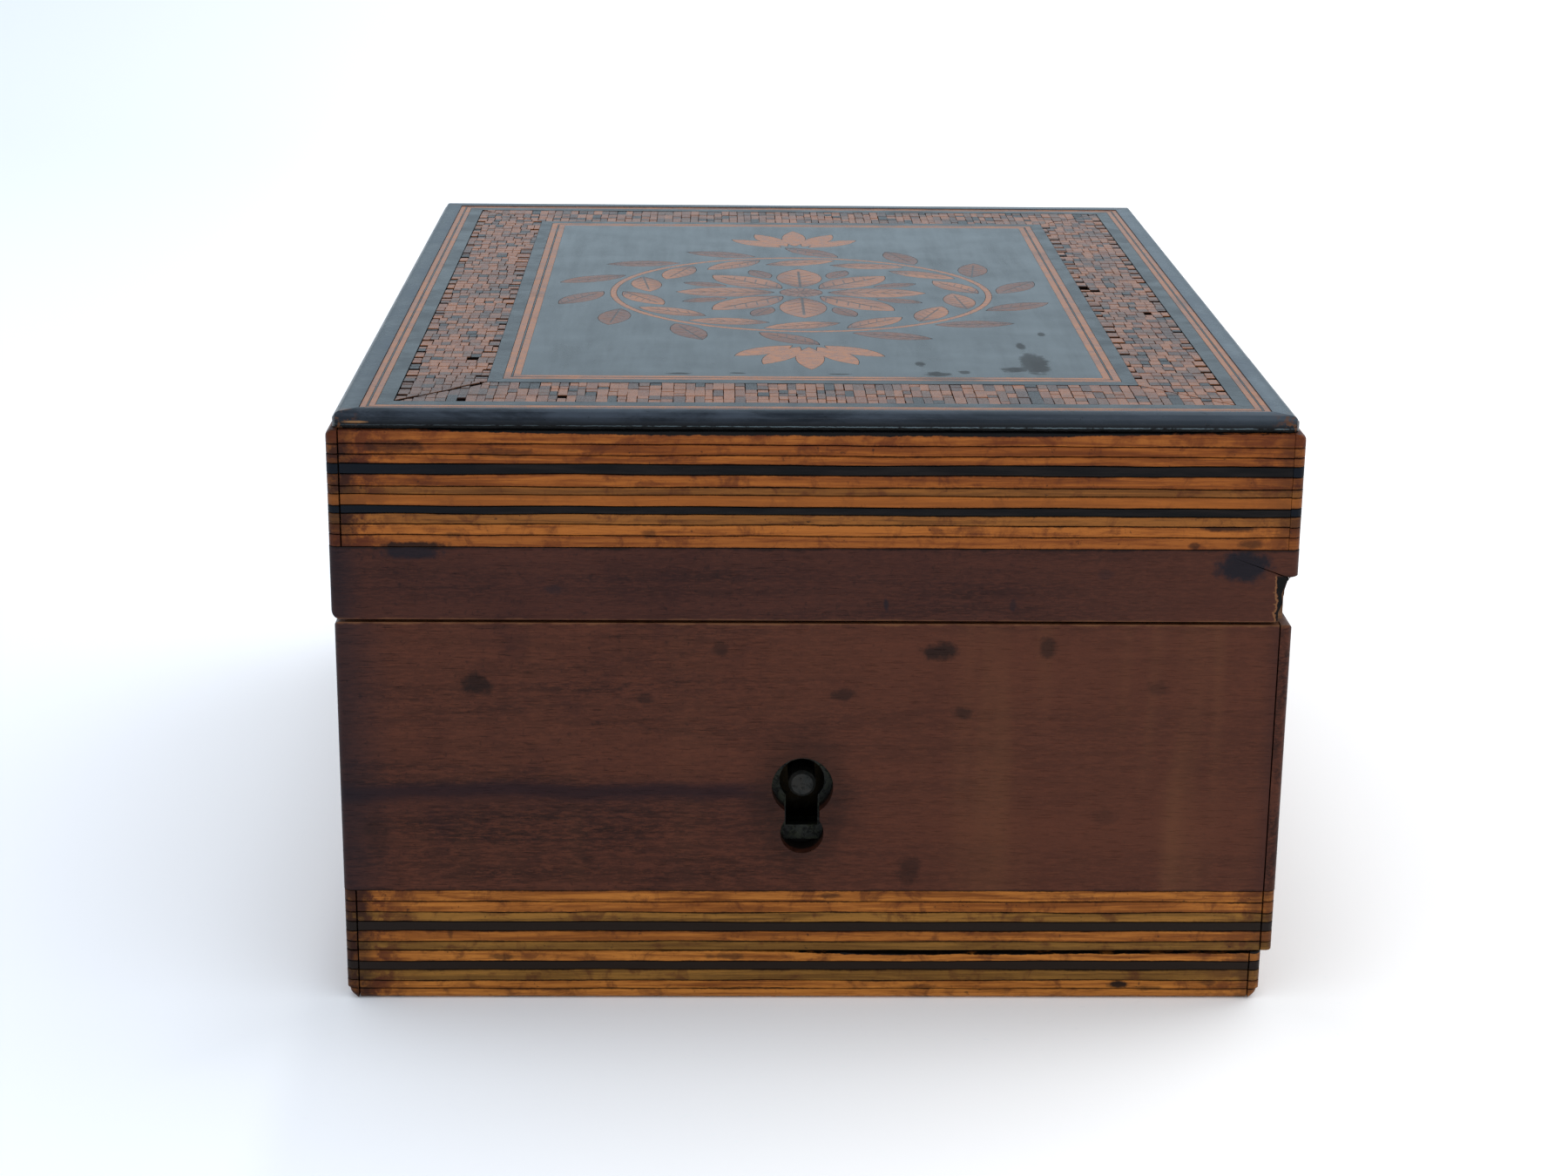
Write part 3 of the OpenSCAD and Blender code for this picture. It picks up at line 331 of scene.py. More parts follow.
def walnut_lid_front():
    """Front of the lid, with bare wood and dirt in its broken corner."""
    g = Graph("walnut_lid_front")
    rough, height = walnut_ground(g, "x")
    g.coat(0.34, WALNUT_STREAK)
    g.coat(g.step(g.x, 10.0, 45.0, 0.0, 0.5), WALNUT_RED)
    g.marks(LID_FRONT_MARKS, WALNUT_BLUE, 0.4, 1.7)
    g.coat(g.fall(g.x, -49.5, -46.0, 0.6), WALNUT_BLUE)
    arris_sheen(g, LID_VENEER_LOW, 0.3, 0.1)
    broken = g.plus(g.x, g.ragged(1.3, 1.2, 4.0, 0.65))
    below = g.fall(g.z, CHIP_TOP - 0.4, CHIP_TOP)
    line = g.times(g.step(broken, CHIP_X - 0.25, CHIP_X - 0.15), below)
    g.coat(g.times(line, g.fall(broken, CHIP_X - 0.05, CHIP_X + 0.05)), CORE_PALE, 0.7)
    g.coat(g.times(g.step(broken, CHIP_X, CHIP_X + 0.1), below), CHIP_BLACK)
    edge_wear(g, LID_VENEER_HIGH.z, 0.35, 0.8, WALNUT_GRIME)
    edge_wear(g, LID_VENEER_LOW.z, 0.25, 0.45)
    return finish_walnut(g, rough, height)


def walnut_plain(name, along, low, high):
    """Walnut of the sides and back, with a few stains, worn along its lower and upper edges."""
    g = Graph(name)
    rough, height = walnut_ground(g, along)
    stains = g.noise(g.stretch(1, 1, 1, (31, 7, 3)), 0.11, 4.0, 0.65, 0.3)
    g.coat(g.step(stains, 0.6, 0.7), WALNUT_GRIME, 0.5)
    edge_wear(g, high, 0.35, 0.5)
    edge_wear(g, low, 0.3, 0.45, WALNUT_GRIME)
    return finish_walnut(g, rough, height)


# Band strips: dark, middle and pale colours of each wood

LID_LIGHT = ((97, 48, 17), (140, 77, 29), (163, 97, 40))
LID_OLIVE = ((87, 51, 21), (126, 79, 35), (139, 86, 37))
BASE_LIGHT = ((106, 58, 20), (148, 87, 34), (176, 112, 47))
BASE_OLIVE = ((88, 58, 22), (124, 88, 38), (142, 98, 42))
STRIP_STAIN = (66, 28, 17)
STRIP_RED = (92, 40, 17)
# Painted shade, with dirt: near black under the lid's moulding and inside the foot band's crack
STRIP_DIRT_AND_SHADE = (9, 9, 11)
STRIP_GRIME = (15, 11, 11)
BLACK_TONES = ((15, 15, 17), (30, 27, 27))
STRIP_BLACK_BROWN = (38, 29, 23)
STRIP_BARE = (76, 50, 34)
# Painted sheen: bluish tint at the left end of the black strips
STRIP_PAINTED_SHEEN = (14, 21, 30)
# The lid band's strips are redder below the first height, and paler between the other two
RED_STRIP_TOP = 52.0
PALE_STRIP_LOW = 54.9
PALE_STRIP_TOP = 56.5

# Dark marks on the bands' fronts: X, Z, half width, half height, strength
LID_BAND_MARKS = [
    (42.5, 53.0, 2.4, 0.35, 0.8), (39.0, 51.1, 0.5, 0.3, 0.6), (44.6, 51.3, 1.3, 0.4, 0.6),
    (-41.5, 50.8, 3.2, 0.4, 0.9), (-37.0, 52.0, 1.2, 0.3, 0.5), (-17.0, 52.1, 0.7, 0.5, 0.5),
    (25.0, 53.4, 0.4, 0.6, 0.6), (-43.0, 61.3, 3.0, 0.6, 0.55), (-32.0, 60.6, 3.5, 0.4, 0.45),
]
BASE_BAND_MARKS = [
    (33.2, 1.7, 0.9, 0.45, 0.95), (36.5, 1.3, 1.4, 0.25, 0.5), (43.0, 1.9, 1.0, 0.3, 0.5),
    (-33.0, 4.9, 1.5, 0.3, 0.6), (-9.0, 5.0, 1.8, 0.4, 0.55), (12.0, 1.4, 1.6, 0.3, 0.4),
    (2.0, 12.0, 1.2, 0.3, 0.5), (-38.5, 8.0, 0.3, 1.3, 0.5), (28.0, 8.6, 2.0, 0.25, 0.4),
]


def along_strip(g, run_scale, z_scale):
    """A place counted along a strip and up it, so that the grain follows the strip."""
    inputs = {0: g.times(g.attribute("run"), run_scale), 1: g.times(g.z, z_scale)}
    return g.apart(g.add("ShaderNodeCombineXYZ", inputs)[0], g.attribute("tone"))


def lid_band_stains(g, pale, blotch):
    """Redder and paler strips, and a ragged near-black band under the moulding: painted shade there, with
    dirt.
    """
    down = g.minus(BOARD_TOP / MM, g.z)
    g.coat(g.times(g.fall(down, 0.9, 2.0), g.step(blotch, 0.35, 0.6, 0.2, 0.7)), STRIP_RED, 0.7)
    g.coat(g.fall(g.z, RED_STRIP_TOP - 0.3, RED_STRIP_TOP + 0.3, 0.3), STRIP_RED)
    paler = g.step(g.z, PALE_STRIP_LOW, PALE_STRIP_LOW + 0.4)
    g.coat(g.times(paler, g.fall(g.z, PALE_STRIP_TOP - 0.3, PALE_STRIP_TOP)), pale, 0.35)
    width = g.step(g.absolute(g.attribute("run")), 18.0, 46.0, 0.42, 0.02)
    uneven = g.plus(down, g.ragged(0.55, 0.9, 5.0, 0.7))
    # Painted shade under the moulding, with dirt: a ragged near-black band
    g.coat(g.fall(g.minus(uneven, width), -0.05, 0.06), STRIP_DIRT_AND_SHADE)


def foot_crack(g):
    """Painted shade: dark inside of the long crack under the top of the foot band."""
    width = g.times(g.step(g.x, CRACK_X, CRACK_X + 17.0), g.step(g.x, CRACK_X + 19.0, 50.0, 0.42, 0.24))
    depth = g.minus(FOOT_TOP / MM, g.z)
    uneven = g.plus(depth, g.ragged(0.5, 0.7, 5.0, 0.7))
    crack = g.fall(g.minus(uneven, width), -0.03, 0.05)
    crack = g.times(g.times(crack, g.step(depth, -0.02, 0.0)), g.fall(g.y, FRONT_SKIN - 1.0, FRONT_SKIN))
    # Painted shade inside the crack
    g.coat(g.times(crack, g.step(g.x, CRACK_X, CRACK_X + 7.0)), STRIP_DIRT_AND_SHADE)


def strip_wood(name, dark, mid, pale, on_lid=False):
    """Wood of a band's strips. Each strip has its own tone, and rise runs from 0 below to 1 above."""
    g = Graph(name)
    tone = g.attribute("tone")
    end = g.attribute("end")
    fibre = g.noise(along_strip(g, 0.07, 1.6), 1.0, 6.0, 0.72, 0.4)
    hair = g.noise(along_strip(g, 0.5, 8.0), 1.0, 3.0, 0.6)
    blotch = g.cloud(0.33, 5.0, 0.68, 0.5, tone)
    g.ground(fibre, 0.3, 0.66, dark, mid)
    g.coat(g.step(g.plus(fibre, tone, 0.25), 0.52, 0.8), pale, 0.9)
    g.coat(g.step(hair, 0.52, 0.72), dark, 0.5)
    g.coat(g.step(blotch, 0.5, 0.68), STRIP_STAIN, 0.62)
    g.coat(g.step(g.cloud(1.25, 4.0, 0.7, 0.0, tone), 0.64, 0.72), STRIP_GRIME, 0.65)
    dirty = g.times(g.fall(end, 1.5, 8.0), g.specks(0.55, 4.0, 0.7, 0.4, 0.58))
    g.coat(g.times(dirty, g.step(g.x, -20.0, 20.0, 0.85, 0.45)), STRIP_STAIN)
    g.coat(g.times(g.fall(end, 0.5, 2.2), g.step(g.x, -20.0, 20.0, 0.6, 0.3)), STRIP_GRIME)
    edge = g.absolute(g.plus(g.attribute("rise"), -0.5))
    rim = g.step(g.plus(edge, g.ragged(0.24, 2.4, 3.0, 0.6, tone)), 0.4, 0.5)
    rim = g.times(rim, g.step(g.cloud(0.2, 4.0, 0.6, 0.0, tone), 0.38, 0.6, 0.05, 0.7))
    g.coat(rim, STRIP_GRIME)
    if on_lid:
        lid_band_stains(g, pale, blotch)
    else:
        foot_crack(g)
    front = g.fall(g.y, FRONT_SKIN, FRONT_SKIN + 1.0)
    g.marks(LID_BAND_MARKS if on_lid else BASE_BAND_MARKS, STRIP_GRIME, 0.4, 2.0, front)
    height = g.plus(g.times(fibre, 0.5), hair, 0.4)
    rough = g.plus(g.step(blotch, 0.3, 0.7, 0.34, 0.46), rim, 0.15)
    return g.done(rough, g.bump(height, 0.035), gloss=0.12)


def strip_black():
    """Ebonised strips: bluish to the left as a painted sheen, browner on the base, worn to bare wood in
    specks.
    """
    g = Graph("black_strips")
    tone = g.attribute("tone")
    fibre = g.noise(g.apart(g.stretch(0.2, 0.2, 2.0), tone), 1.0, 5.0, 0.6)
    g.ground(fibre, 0.35, 0.75, *BLACK_TONES)
    # Painted sheen: bluish towards the left end
    g.coat(g.fall(g.attribute("run"), -50.0, -30.0, 0.8), STRIP_PAINTED_SHEEN)
    g.coat(g.fall(g.z, 20.0, 30.0, 0.75), STRIP_BLACK_BROWN)
    g.coat(g.step(g.cloud(0.9, 5.0, 0.7, 0.0, tone), 0.68, 0.76), STRIP_BARE, 0.5)
    return g.done(g.step(fibre, 0.3, 0.7, 0.34, 0.48), g.bump(fibre, 0.03), gloss=0.08)


# Lid top

PANEL_TONES = ((17, 18, 21), (28, 30, 33))
PANEL_STAIN = (20, 18, 18)
LACQUER_TONES = ((15, 16, 19), (30, 32, 36))
LACQUER_WORN = (52, 40, 34)
# Painted sheen on the moulding's top: blue-grey, lighter to the right
MOULDING_PAINTED_SHEEN = ((32, 38, 46), (60, 69, 80), (74, 84, 94))
# Painted shade on the moulding's face below its bead
MOULDING_PAINTED_SHADE = ((5, 6, 7), (16, 20, 25))
MOULDING_NICK = (8, 9, 10)
# Painted highlight along the moulding's bead
MOULDING_PAINTED_HIGHLIGHT = (104, 122, 130)
MOULDING_CHIP = (104, 66, 38)
MOULDING_BARE = (150, 110, 70)
INLAY_TAN = (166, 108, 66)
INLAY_DEEP = (130, 79, 46)
INLAY_BROWN = (88, 46, 27)
INLAY_LINE = (26, 16, 13)
STRING_BLOTCH = (86, 54, 38)
TILE_TONES = [(144, 90, 54), (124, 76, 48), (104, 70, 50), (80, 52, 40), (30, 22, 21)]
TILE_HAZE = (66, 50, 42)
TILE_DIRT = (48, 40, 37)

# Dull stains on the panel: X and Y, then half sizes
LONG_STAIN = ((24.6, -39.5), (1.5, 5.2))
PANEL_STAINS = [
    ((22.2, -42.6), (1.5, 1.1)), ((13.6, -45.0), (1.2, 1.1)), ((12.0, -40.0), (0.5, 1.1)),
    ((24.0, -30.5), (0.5, 1.6)), ((16.6, -44.0), (0.6, 0.8)), ((-14.5, -45.2), (1.3, 0.4)),
    ((-8.0, -44.9), (0.9, 0.3)), ((3.0, -45.2), (1.0, 0.3)), ((27.0, -24.0), (0.4, 1.0)),
]
# Worn place on the inner string, and the dirty front left corner of the mosaic
STRING_WEAR = ((14.5, -47.0), (4.0, 1.2))
TILE_CORNER = ((-41.0, -54.0), (9.0, 6.5))
# Bare chip on the moulding's front, and how far its top is rubbed round
NOSE_CHIP = ((-46.9, BEAD_Z + 0.3), (1.2, 0.12))
ROUND_REACH = 3.3


def panel_lacquer():
    """Worn polish on black wood: streaky sheen, dull stains, scratches and specks."""
    g = Graph("panel_lacquer")
    streak = g.grain(0.5, 0.05, 1, 5.0, 0.6, 0.2)
    cloud = g.cloud(0.09, 5.0, 0.6, 0.4)
    grain = g.grain(3.0, 0.18, 1, 3.0, 0.6)
    g.ground(cloud, 0.4, 0.7, *PANEL_TONES)
    rough = g.plus(g.step(streak, 0.3, 0.7, 0.15, 0.23), g.step(cloud, 0.35, 0.7, 0.0, 0.07))
    stains = g.spot(g.x, g.y, *LONG_STAIN, 0.25, 1.2)
    for place, size in PANEL_STAINS:
        stains = g.most(stains, g.spot(g.x, g.y, place, size, 0.35, 1.8))
    specks = g.specks(0.75, 4.0, 0.7, 0.7, 0.76)
    g.coat(stains, PANEL_STAIN, 0.8)
    rough = g.plus(g.plus(rough, stains, 0.3), specks, 0.2)
    scratch = g.step(g.noise(g.stretch(9.0, 0.12, 1, (3, 5, 0)), 1.0, 2.0, 0.5, 0.8), 0.72, 0.78)
    height = g.plus(g.times(grain, 0.35), scratch, -0.6)
    height = g.plus(height, stains, -0.8)
    return g.done(rough, g.bump(height, 0.012, g.bump(g.cloud(0.06, 2.0), 0.25)), IOR=1.62)


def fillet_lacquer():
    """Black polish of the fillets and the strings' dark lines, rubbed through to brown in places."""
    g = Graph("fillet_lacquer")
    cloud = g.cloud(0.22, 5.0, 0.65, 0.3)
    rub = g.step(g.cloud(0.8, 5.0, 0.72, 0.2), 0.66, 0.74)
    g.ground(cloud, 0.4, 0.75, *LACQUER_TONES)
    g.coat(rub, LACQUER_WORN, 0.6)
    rough = g.plus(g.step(cloud, 0.3, 0.7, 0.2, 0.34), rub, 0.2)
    return g.done(rough, g.bump(g.cloud(1.6, 4.0, 0.6), 0.02), gloss=0.4)


def moulding_lacquer():
    """Black polish of the edge moulding: painted sheen on top, which is also worn round; painted shade below
    its bead, and a painted highlight along the bead.
    """
    g = Graph("moulding_lacquer")
    cloud = g.grain(0.12, 0.12, 0.6, 5.0, 0.65, 0.3)
    # Painted sheen: the top is blue-grey and lighter to the right, for the bright room that the polish
    # reflects
    painted_sheen = g.mix(g.step(cloud, 0.35, 0.7), MOULDING_PAINTED_SHEEN[0], MOULDING_PAINTED_SHEEN[1])
    painted_sheen = g.mix(g.step(g.x, -10.0, 45.0, 0.0, 0.6), painted_sheen, MOULDING_PAINTED_SHEEN[2])
    # Painted shade: near black below the bead, darker than the polish elsewhere
    side = g.mix(g.step(g.z, BEAD_Z, BEAD_Z + 0.1), *MOULDING_PAINTED_SHADE)
    g.ground(g.z, BEAD_Z + 0.05, BEAD_Z + 1.1, side, painted_sheen)
    g.coat(g.specks(0.7, 5.0, 0.75, 0.63, 0.68), MOULDING_NICK, 0.7)
    # Painted highlight: a pale ragged line along the top of the bead
    off = g.absolute(g.plus(g.minus(g.z, BEAD_Z), g.ragged(0.22, 0.9, 5.0, 0.7)))
    patches = g.specks(0.5, 4.0, 0.7, 0.36, 0.54)
    line = g.times(g.times(g.fall(off, 0.02, 0.07), patches), g.step(g.x, -40.0, 15.0, 0.25, 0.9))
    g.coat(line, MOULDING_PAINTED_HIGHLIGHT)
    rub = g.step(g.cloud(1.1, 5.0, 0.75, 0.2), 0.66, 0.73)
    in_x = g.minus(LID_HALF_X / MM, g.absolute(g.x))
    in_y = g.minus(LID_HALF_Y / MM, g.absolute(g.y))
    corner = g.times(g.fall(in_x, 1.0, 4.0), g.fall(in_y, 1.0, 4.0))
    g.coat(rub, LACQUER_WORN, 0.6)
    g.coat(g.times(corner, g.specks(0.9, 4.0, 0.7, 0.52, 0.6)), MOULDING_CHIP, 0.8)
    nose = g.spot(g.x, g.z, *NOSE_CHIP, 0.4, 1.6)
    g.coat(g.times(nose, g.fall(g.y, FRONT_SKIN + 2.0, FRONT_SKIN + 3.0)), MOULDING_BARE, 0.8)
    rough = g.plus(g.step(cloud, 0.3, 0.7, 0.2, 0.32), rub, 0.25)
    short = g.most(g.minus(ROUND_REACH, g.math("MINIMUM", in_x, in_y)), 0.0)
    round_off = g.bump(g.times(g.times(short, short), -0.13), 1.0)
    dents = g.grain(0.35, 0.35, 1.2, 4.0, 0.6)
    return g.done(rough, g.bump(dents, 0.07, round_off), gloss=0.14)


def string_wood():
    """Light strings, blotched and nicked."""
    g = Graph("string_wood")
    fibre = g.cloud(0.5, 6.0, 0.7, 0.3)
    g.ground(fibre, 0.3, 0.7, INLAY_DEEP, INLAY_TAN)
    g.coat(g.specks(0.13, 4.0, 0.6, 0.5, 0.75), STRING_BLOTCH, 0.6)
    g.coat(g.specks(1.6, 4.0, 0.7, 0.64, 0.72), INLAY_LINE, 0.7)
    g.coat(g.spot(g.x, g.y, *STRING_WEAR, 0.4, 1.2), INLAY_LINE, 0.55)
    return g.done(g.step(fibre, 0.3, 0.7, 0.26, 0.38), g.bump(fibre, 0.03), gloss=0.36)


def tile_wood():
    """Mosaic tiles: each has its own wood from its tone, with end grain and dirt in the joints."""
    g = Graph("tile_wood")
    tone = g.attribute("tone")
    g.color = TILE_TONES[0]
    for i, other in enumerate(TILE_TONES[1:]):
        edge = (i + 1) / len(TILE_TONES)
        g.coat(g.step(tone, edge - 0.01, edge + 0.01), other)
    pores = g.cloud(5.0, 3.0, 0.6, 0.0, tone)
    g.coat(g.step(pores, 0.5, 0.75), INLAY_LINE, 0.45)
    g.coat(g.specks(0.16, 4.0, 0.6, 0.42, 0.7), TILE_HAZE, 0.4)
    g.coat(g.spot(g.x, g.y, *TILE_CORNER, 0.6, 0.9), TILE_DIRT, 0.55)
    g.coat(g.fall(g.z, SHEET_TOP / MM - 0.16, SHEET_TOP / MM - 0.07), INLAY_LINE)
    return g.done(g.step(pores, 0.3, 0.7, 0.24, 0.38), g.bump(pores, 0.03), gloss=0.36)


def finish_inlay(g, fibre, height):
    """Polish of the inlay, which follows its fibre."""
    return g.done(g.step(fibre, 0.3, 0.7, 0.24, 0.36), g.bump(height, 0.03), gloss=0.28)


def leaf_wood(name, light, deep):
    """Inlaid leaf: sand-shaded foot, engraved midrib and side veins, from the leaf's own coordinates."""
    g = Graph(name)
    length = g.attribute("leaf_length")
    width = g.attribute("leaf_width")
    tone = g.attribute("tone")
    fibre = g.noise(g.apart(g.stretch(0.5, 1.6, 1), tone), 1.0, 5.0, 0.65, 0.3)
    g.ground(fibre, 0.3, 0.7, deep, light)
    g.coat(tone, deep, 0.3)
    g.coat(g.fall(g.plus(length, fibre, 0.3), 0.1, 0.6, 0.75), INLAY_BROWN)
    g.coat(g.step(width, 0.1, 0.9, 0.0, 0.45), INLAY_BROWN)
    aside = g.absolute(width)
    rib = g.times(g.fall(aside, 0.03, 0.09), g.fall(length, 0.82, 0.9))
    lean = g.minus(g.times(length, 6.5), g.times(aside, 1.3))
    vein = g.times(g.fall(g.to_cell_middle(lean), 0.03, 0.1), g.fall(aside, 0.55, 0.75))
    vein = g.times(vein, g.fall(length, 0.7, 0.85))
    lines = g.most(rib, g.times(vein, 0.8))
    g.coat(lines, INLAY_LINE, 0.85)
    g.coat(g.specks(1.3, 4.0, 0.7, 0.68, 0.76), INLAY_LINE, 0.6)
    return finish_inlay(g, fibre, g.plus(g.times(fibre, 0.4), lines, -0.9))


def ring_wood(name, light, deep, spokes=0):
    """Inlay turned round the panel's middle: the stem, the eye and the palmettes."""
    g = Graph(name)
    fibre = g.cloud(0.9, 5.0, 0.65, 0.3)
    g.ground(fibre, 0.3, 0.7, deep, light)
    g.coat(g.specks(1.5, 4.0, 0.7, 0.62, 0.72), INLAY_LINE, 0.6)
    height = g.times(fibre, 0.4)
    if spokes:
        angle = g.times(g.math("ARCTAN2", g.y, g.x), spokes / (2 * math.pi))
        line = g.fall(g.to_cell_middle(angle), 0.04, 0.12)
        g.coat(line, INLAY_LINE, 0.8)
        height = g.plus(height, line, -0.8)
    return finish_inlay(g, fibre, height)


# Carcass and metal

CORE_TONES = ((98, 68, 46), (134, 97, 66))
CORE_RINGS = (84, 56, 38)
CORE_GRIME = (62, 44, 34)
CORE_GLUE = (20, 14, 12)
# Painted shade: near black inside the keyhole
KEYHOLE_SHADE = (6, 6, 5)
BRASS_TONES = ((150, 122, 72), (104, 84, 50))
BRASS_GREEN = (66, 78, 60)
GREENNESS = 0.35
STEEL_TONES = ((120, 116, 108), (84, 82, 78))
STEEL_RUST = (82, 62, 48)
LOCK_CAP_TONES = ((9, 14, 11), (40, 45, 29))
DRILL_PIN_TONES = ((15, 19, 17), (35, 33, 28))
PIT_BLACK = (10, 11, 10)


def keyhole_painted_shade(g):
    """Painted shade: near black on the parts seen in and round the keyhole, where the hole is in shadow."""
    mask = g.spot(g.x, g.z, KEY_MIDDLE, (5.6, 8.2), 0.2, 0.5)
    g.coat(g.times(mask, g.fall(g.y, LOCK_DEPTH, LOCK_DEPTH + 5.0)), KEYHOLE_SHADE, 0.96)


def core_wood(name, along):
    """Bare softwood of the carcass, browned and dusty, with glue under the lid's veneered top."""
    g = Graph(name)
    x, y = (0.04, 1.1) if along == "x" else (1.1, 0.04)
    fibre = g.grain(x, y, 1.1, 6.0, 0.65, 0.5)
    year = g.grain(x * 0.5, y * 0.35, 0.4, 3.0, 0.5, 0.8)
    g.ground(fibre, 0.3, 0.7, *CORE_TONES)
    g.coat(g.step(g.math("FRACT", g.times(year, 9.0)), 0.55, 0.95), CORE_RINGS, 0.4)
    g.coat(g.specks(0.12, 5.0, 0.65, 0.52, 0.72), CORE_GRIME, 0.5)
    g.coat(g.step(g.z, BOARD_TOP / MM - 0.25, BOARD_TOP / MM - 0.15), CORE_GLUE)
    if along == "x":
        # Painted shade on the walls seen through the keyhole
        keyhole_painted_shade(g)
    return g.done(g.step(fibre, 0.3, 0.7, 0.55, 0.75), g.bump(fibre, 0.06), gloss=0.3)


def old_brass(name, at_key=False):
    """Dull brass with green tarnish."""
    g = Graph(name)
    cloud = g.cloud(0.5, 5.0, 0.65, 0.3)
    spots = g.specks(1.6, 4.0, 0.7, 0.52, 0.66)
    brush = g.grain(0.8, 0.8, 14.0, 2.0, 0.5)
    g.ground(cloud, 0.35, 0.7, *BRASS_TONES)
    tarnish = g.most(g.times(spots, GREENNESS), g.step(cloud, 0.6, 0.75, 0.0, GREENNESS))
    g.coat(tarnish, BRASS_GREEN)
    if at_key:
        # Painted shade on the lock seen through the keyhole
        keyhole_painted_shade(g)
    rough = g.plus(g.step(cloud, 0.3, 0.7, 0.28, 0.42), tarnish, 0.3)
    height = g.plus(g.times(brush, 0.2), spots, 0.3)
    return g.done(rough, g.bump(height, 0.03), Metallic=g.step(tarnish, 0.0, 1.0, 0.95, 0.35))


def old_steel():
    """Grey steel of the hinge pins and the lock's spring, rusty in patches."""
    g = Graph("old_steel")
    cloud = g.cloud(0.9, 5.0, 0.65, 0.3)
    rust = g.specks(1.8, 4.0, 0.7, 0.5, 0.66)
    g.ground(cloud, 0.35, 0.7, *STEEL_TONES)
    g.coat(rust, STEEL_RUST, 0.75)
    rough = g.plus(g.step(cloud, 0.3, 0.7, 0.3, 0.45), rust, 0.3)
    height = g.plus(cloud, rust, 0.4)
    return g.done(rough, g.bump(height, 0.03), Metallic=g.step(rust, 0.0, 1.0, 0.9, 0.2))


def blackened(name, dark, lit):
    """Metal round the keyhole, nearly black with green dirt."""
    g = Graph(name)
    cloud = g.cloud(0.8, 5.0, 0.7, 0.3)
    pits = g.specks(2.2, 4.0, 0.7, 0.5, 0.64)
    g.ground(cloud, 0.4, 0.66, dark, lit)
    g.coat(pits, PIT_BLACK, 0.7)
    rough = g.plus(g.step(cloud, 0.3, 0.7, 0.45, 0.6), pits, 0.2)
    return g.done(rough, g.bump(g.plus(cloud, pits, -0.5), 0.05), Metallic=0.35)


# Pieces

def dress(material, *names):
    """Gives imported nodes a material."""
    for name in names:
        mesh = frame["nodes"][name].data
        mesh.materials.clear()
        mesh.materials.append(material)


def soften(piece, width, segments=2):
    """Small worn bevel on a piece's sharp edges, width in millimetres."""
    bevel = piece.modifiers.new("worn_edges", "BEVEL")
    bevel.width = width * MM
    bevel.segments = segments
    bevel.limit_method = "ANGLE"
    bevel.angle_limit = math.radians(40)
    bevel.use_clamp_overlap = True


def new_piece(name, mesh, material, *nodes):
    """A piece made of a mesh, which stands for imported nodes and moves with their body."""
    piece = bpy.data.objects.new(name, mesh)
    bpy.context.scene.collection.objects.link(piece)
    mesh.materials.clear()
    mesh.materials.append(material)
    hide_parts(*nodes)
    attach(piece, NODE_BODY[nodes[0]])
    return piece


def solids_of(node):
    """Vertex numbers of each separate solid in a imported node's mesh, in a fixed order."""
    mesh = frame["nodes"][node].data
    key_of = [tuple(round(c * 1e6) for c in v.co) for v in mesh.vertices]
    root = {key: key for key in key_of}

    def find(key):
        while root[key] != key:
            root[key] = root[root[key]]
            key = root[key]
        return key

    for polygon in mesh.polygons:
        first = find(key_of[polygon.vertices[0]])
        for vertex in polygon.vertices[1:]:
            root[find(key_of[vertex])] = first
    groups = {}
    for index, key in enumerate(key_of):
        groups.setdefault(find(key), []).append(index)
    return [groups[key] for key in sorted(groups)]


def boxes_of(node):
    """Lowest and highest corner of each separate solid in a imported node."""
    vertices = frame["nodes"][node].data.vertices
    boxes = []
    for group in solids_of(node):
        places = [vertices[i].co for i in group]
        boxes.append([Vector([pick(p[axis] for p in places) for axis in range(3)]) for pick in (min, max)])
    return boxes


# Unevenness of the bands' strips, in metres
WAVE = 0.1 * MM
RIPPLE = 0.03 * MM
DENT = 0.03 * MM
EDGE_GAP = 0.06 * MM
NEAR = 0.12 * MM
CORNER_R = 0.8 * MM
FOOT_SIDE_R = 1.35 * MM
FOOT_FRONT_R = 0.8 * MM
BROW_R = 0.8 * MM
CRACK = 0.42 * MM
CRACK_START = CRACK_X * MM
CLOSED_SEAM = 0.12 * MM
SECTION_STEP = 1.4 * MM
STRIP_BEVEL = 0.03
# Sections close together at a strip's ends, and levels up a strip that is rounded
END_STEPS = [0, 0.06 * MM, 0.22 * MM, 0.45 * MM, CORNER_R]
ROUND_LEVELS = 5
# Waves per metre along a strip, and what keeps the waves of other edges and sides apart
SLOW_WAVES = 95
FAST_WAVES = 700
PER_EDGE = 650
PER_SIDE = 7.3
LIMITS = [LID_VENEER_HIGH.z, BOARD_TOP, BASE_VENEER_LOW.z, FOOT_TOP]


def rounding(depth, r):
    """How far a quarter round of radius r stands in at a depth from its start."""
    if depth >= r:
        return 0.0
    return r - math.sqrt(max(r * r - (r - depth) ** 2, 0.0))


def boundary(z, run, side, inward):
    """Height of the edge between two strips, wavy along its run. Band limits are only crossed inward."""
    slow = noise.noise(Vector((run * SLOW_WAVES, z * PER_EDGE, side * PER_SIDE)))
    fast = noise.noise(Vector((run * FAST_WAVES, z * PER_EDGE, side * PER_SIDE + 40)))
    if any(abs(z - limit) < NEAR for limit in LIMITS):
        return z + inward * abs(EDGE_GAP * slow + RIPPLE * fast)
    return z + WAVE * slow + RIPPLE * fast


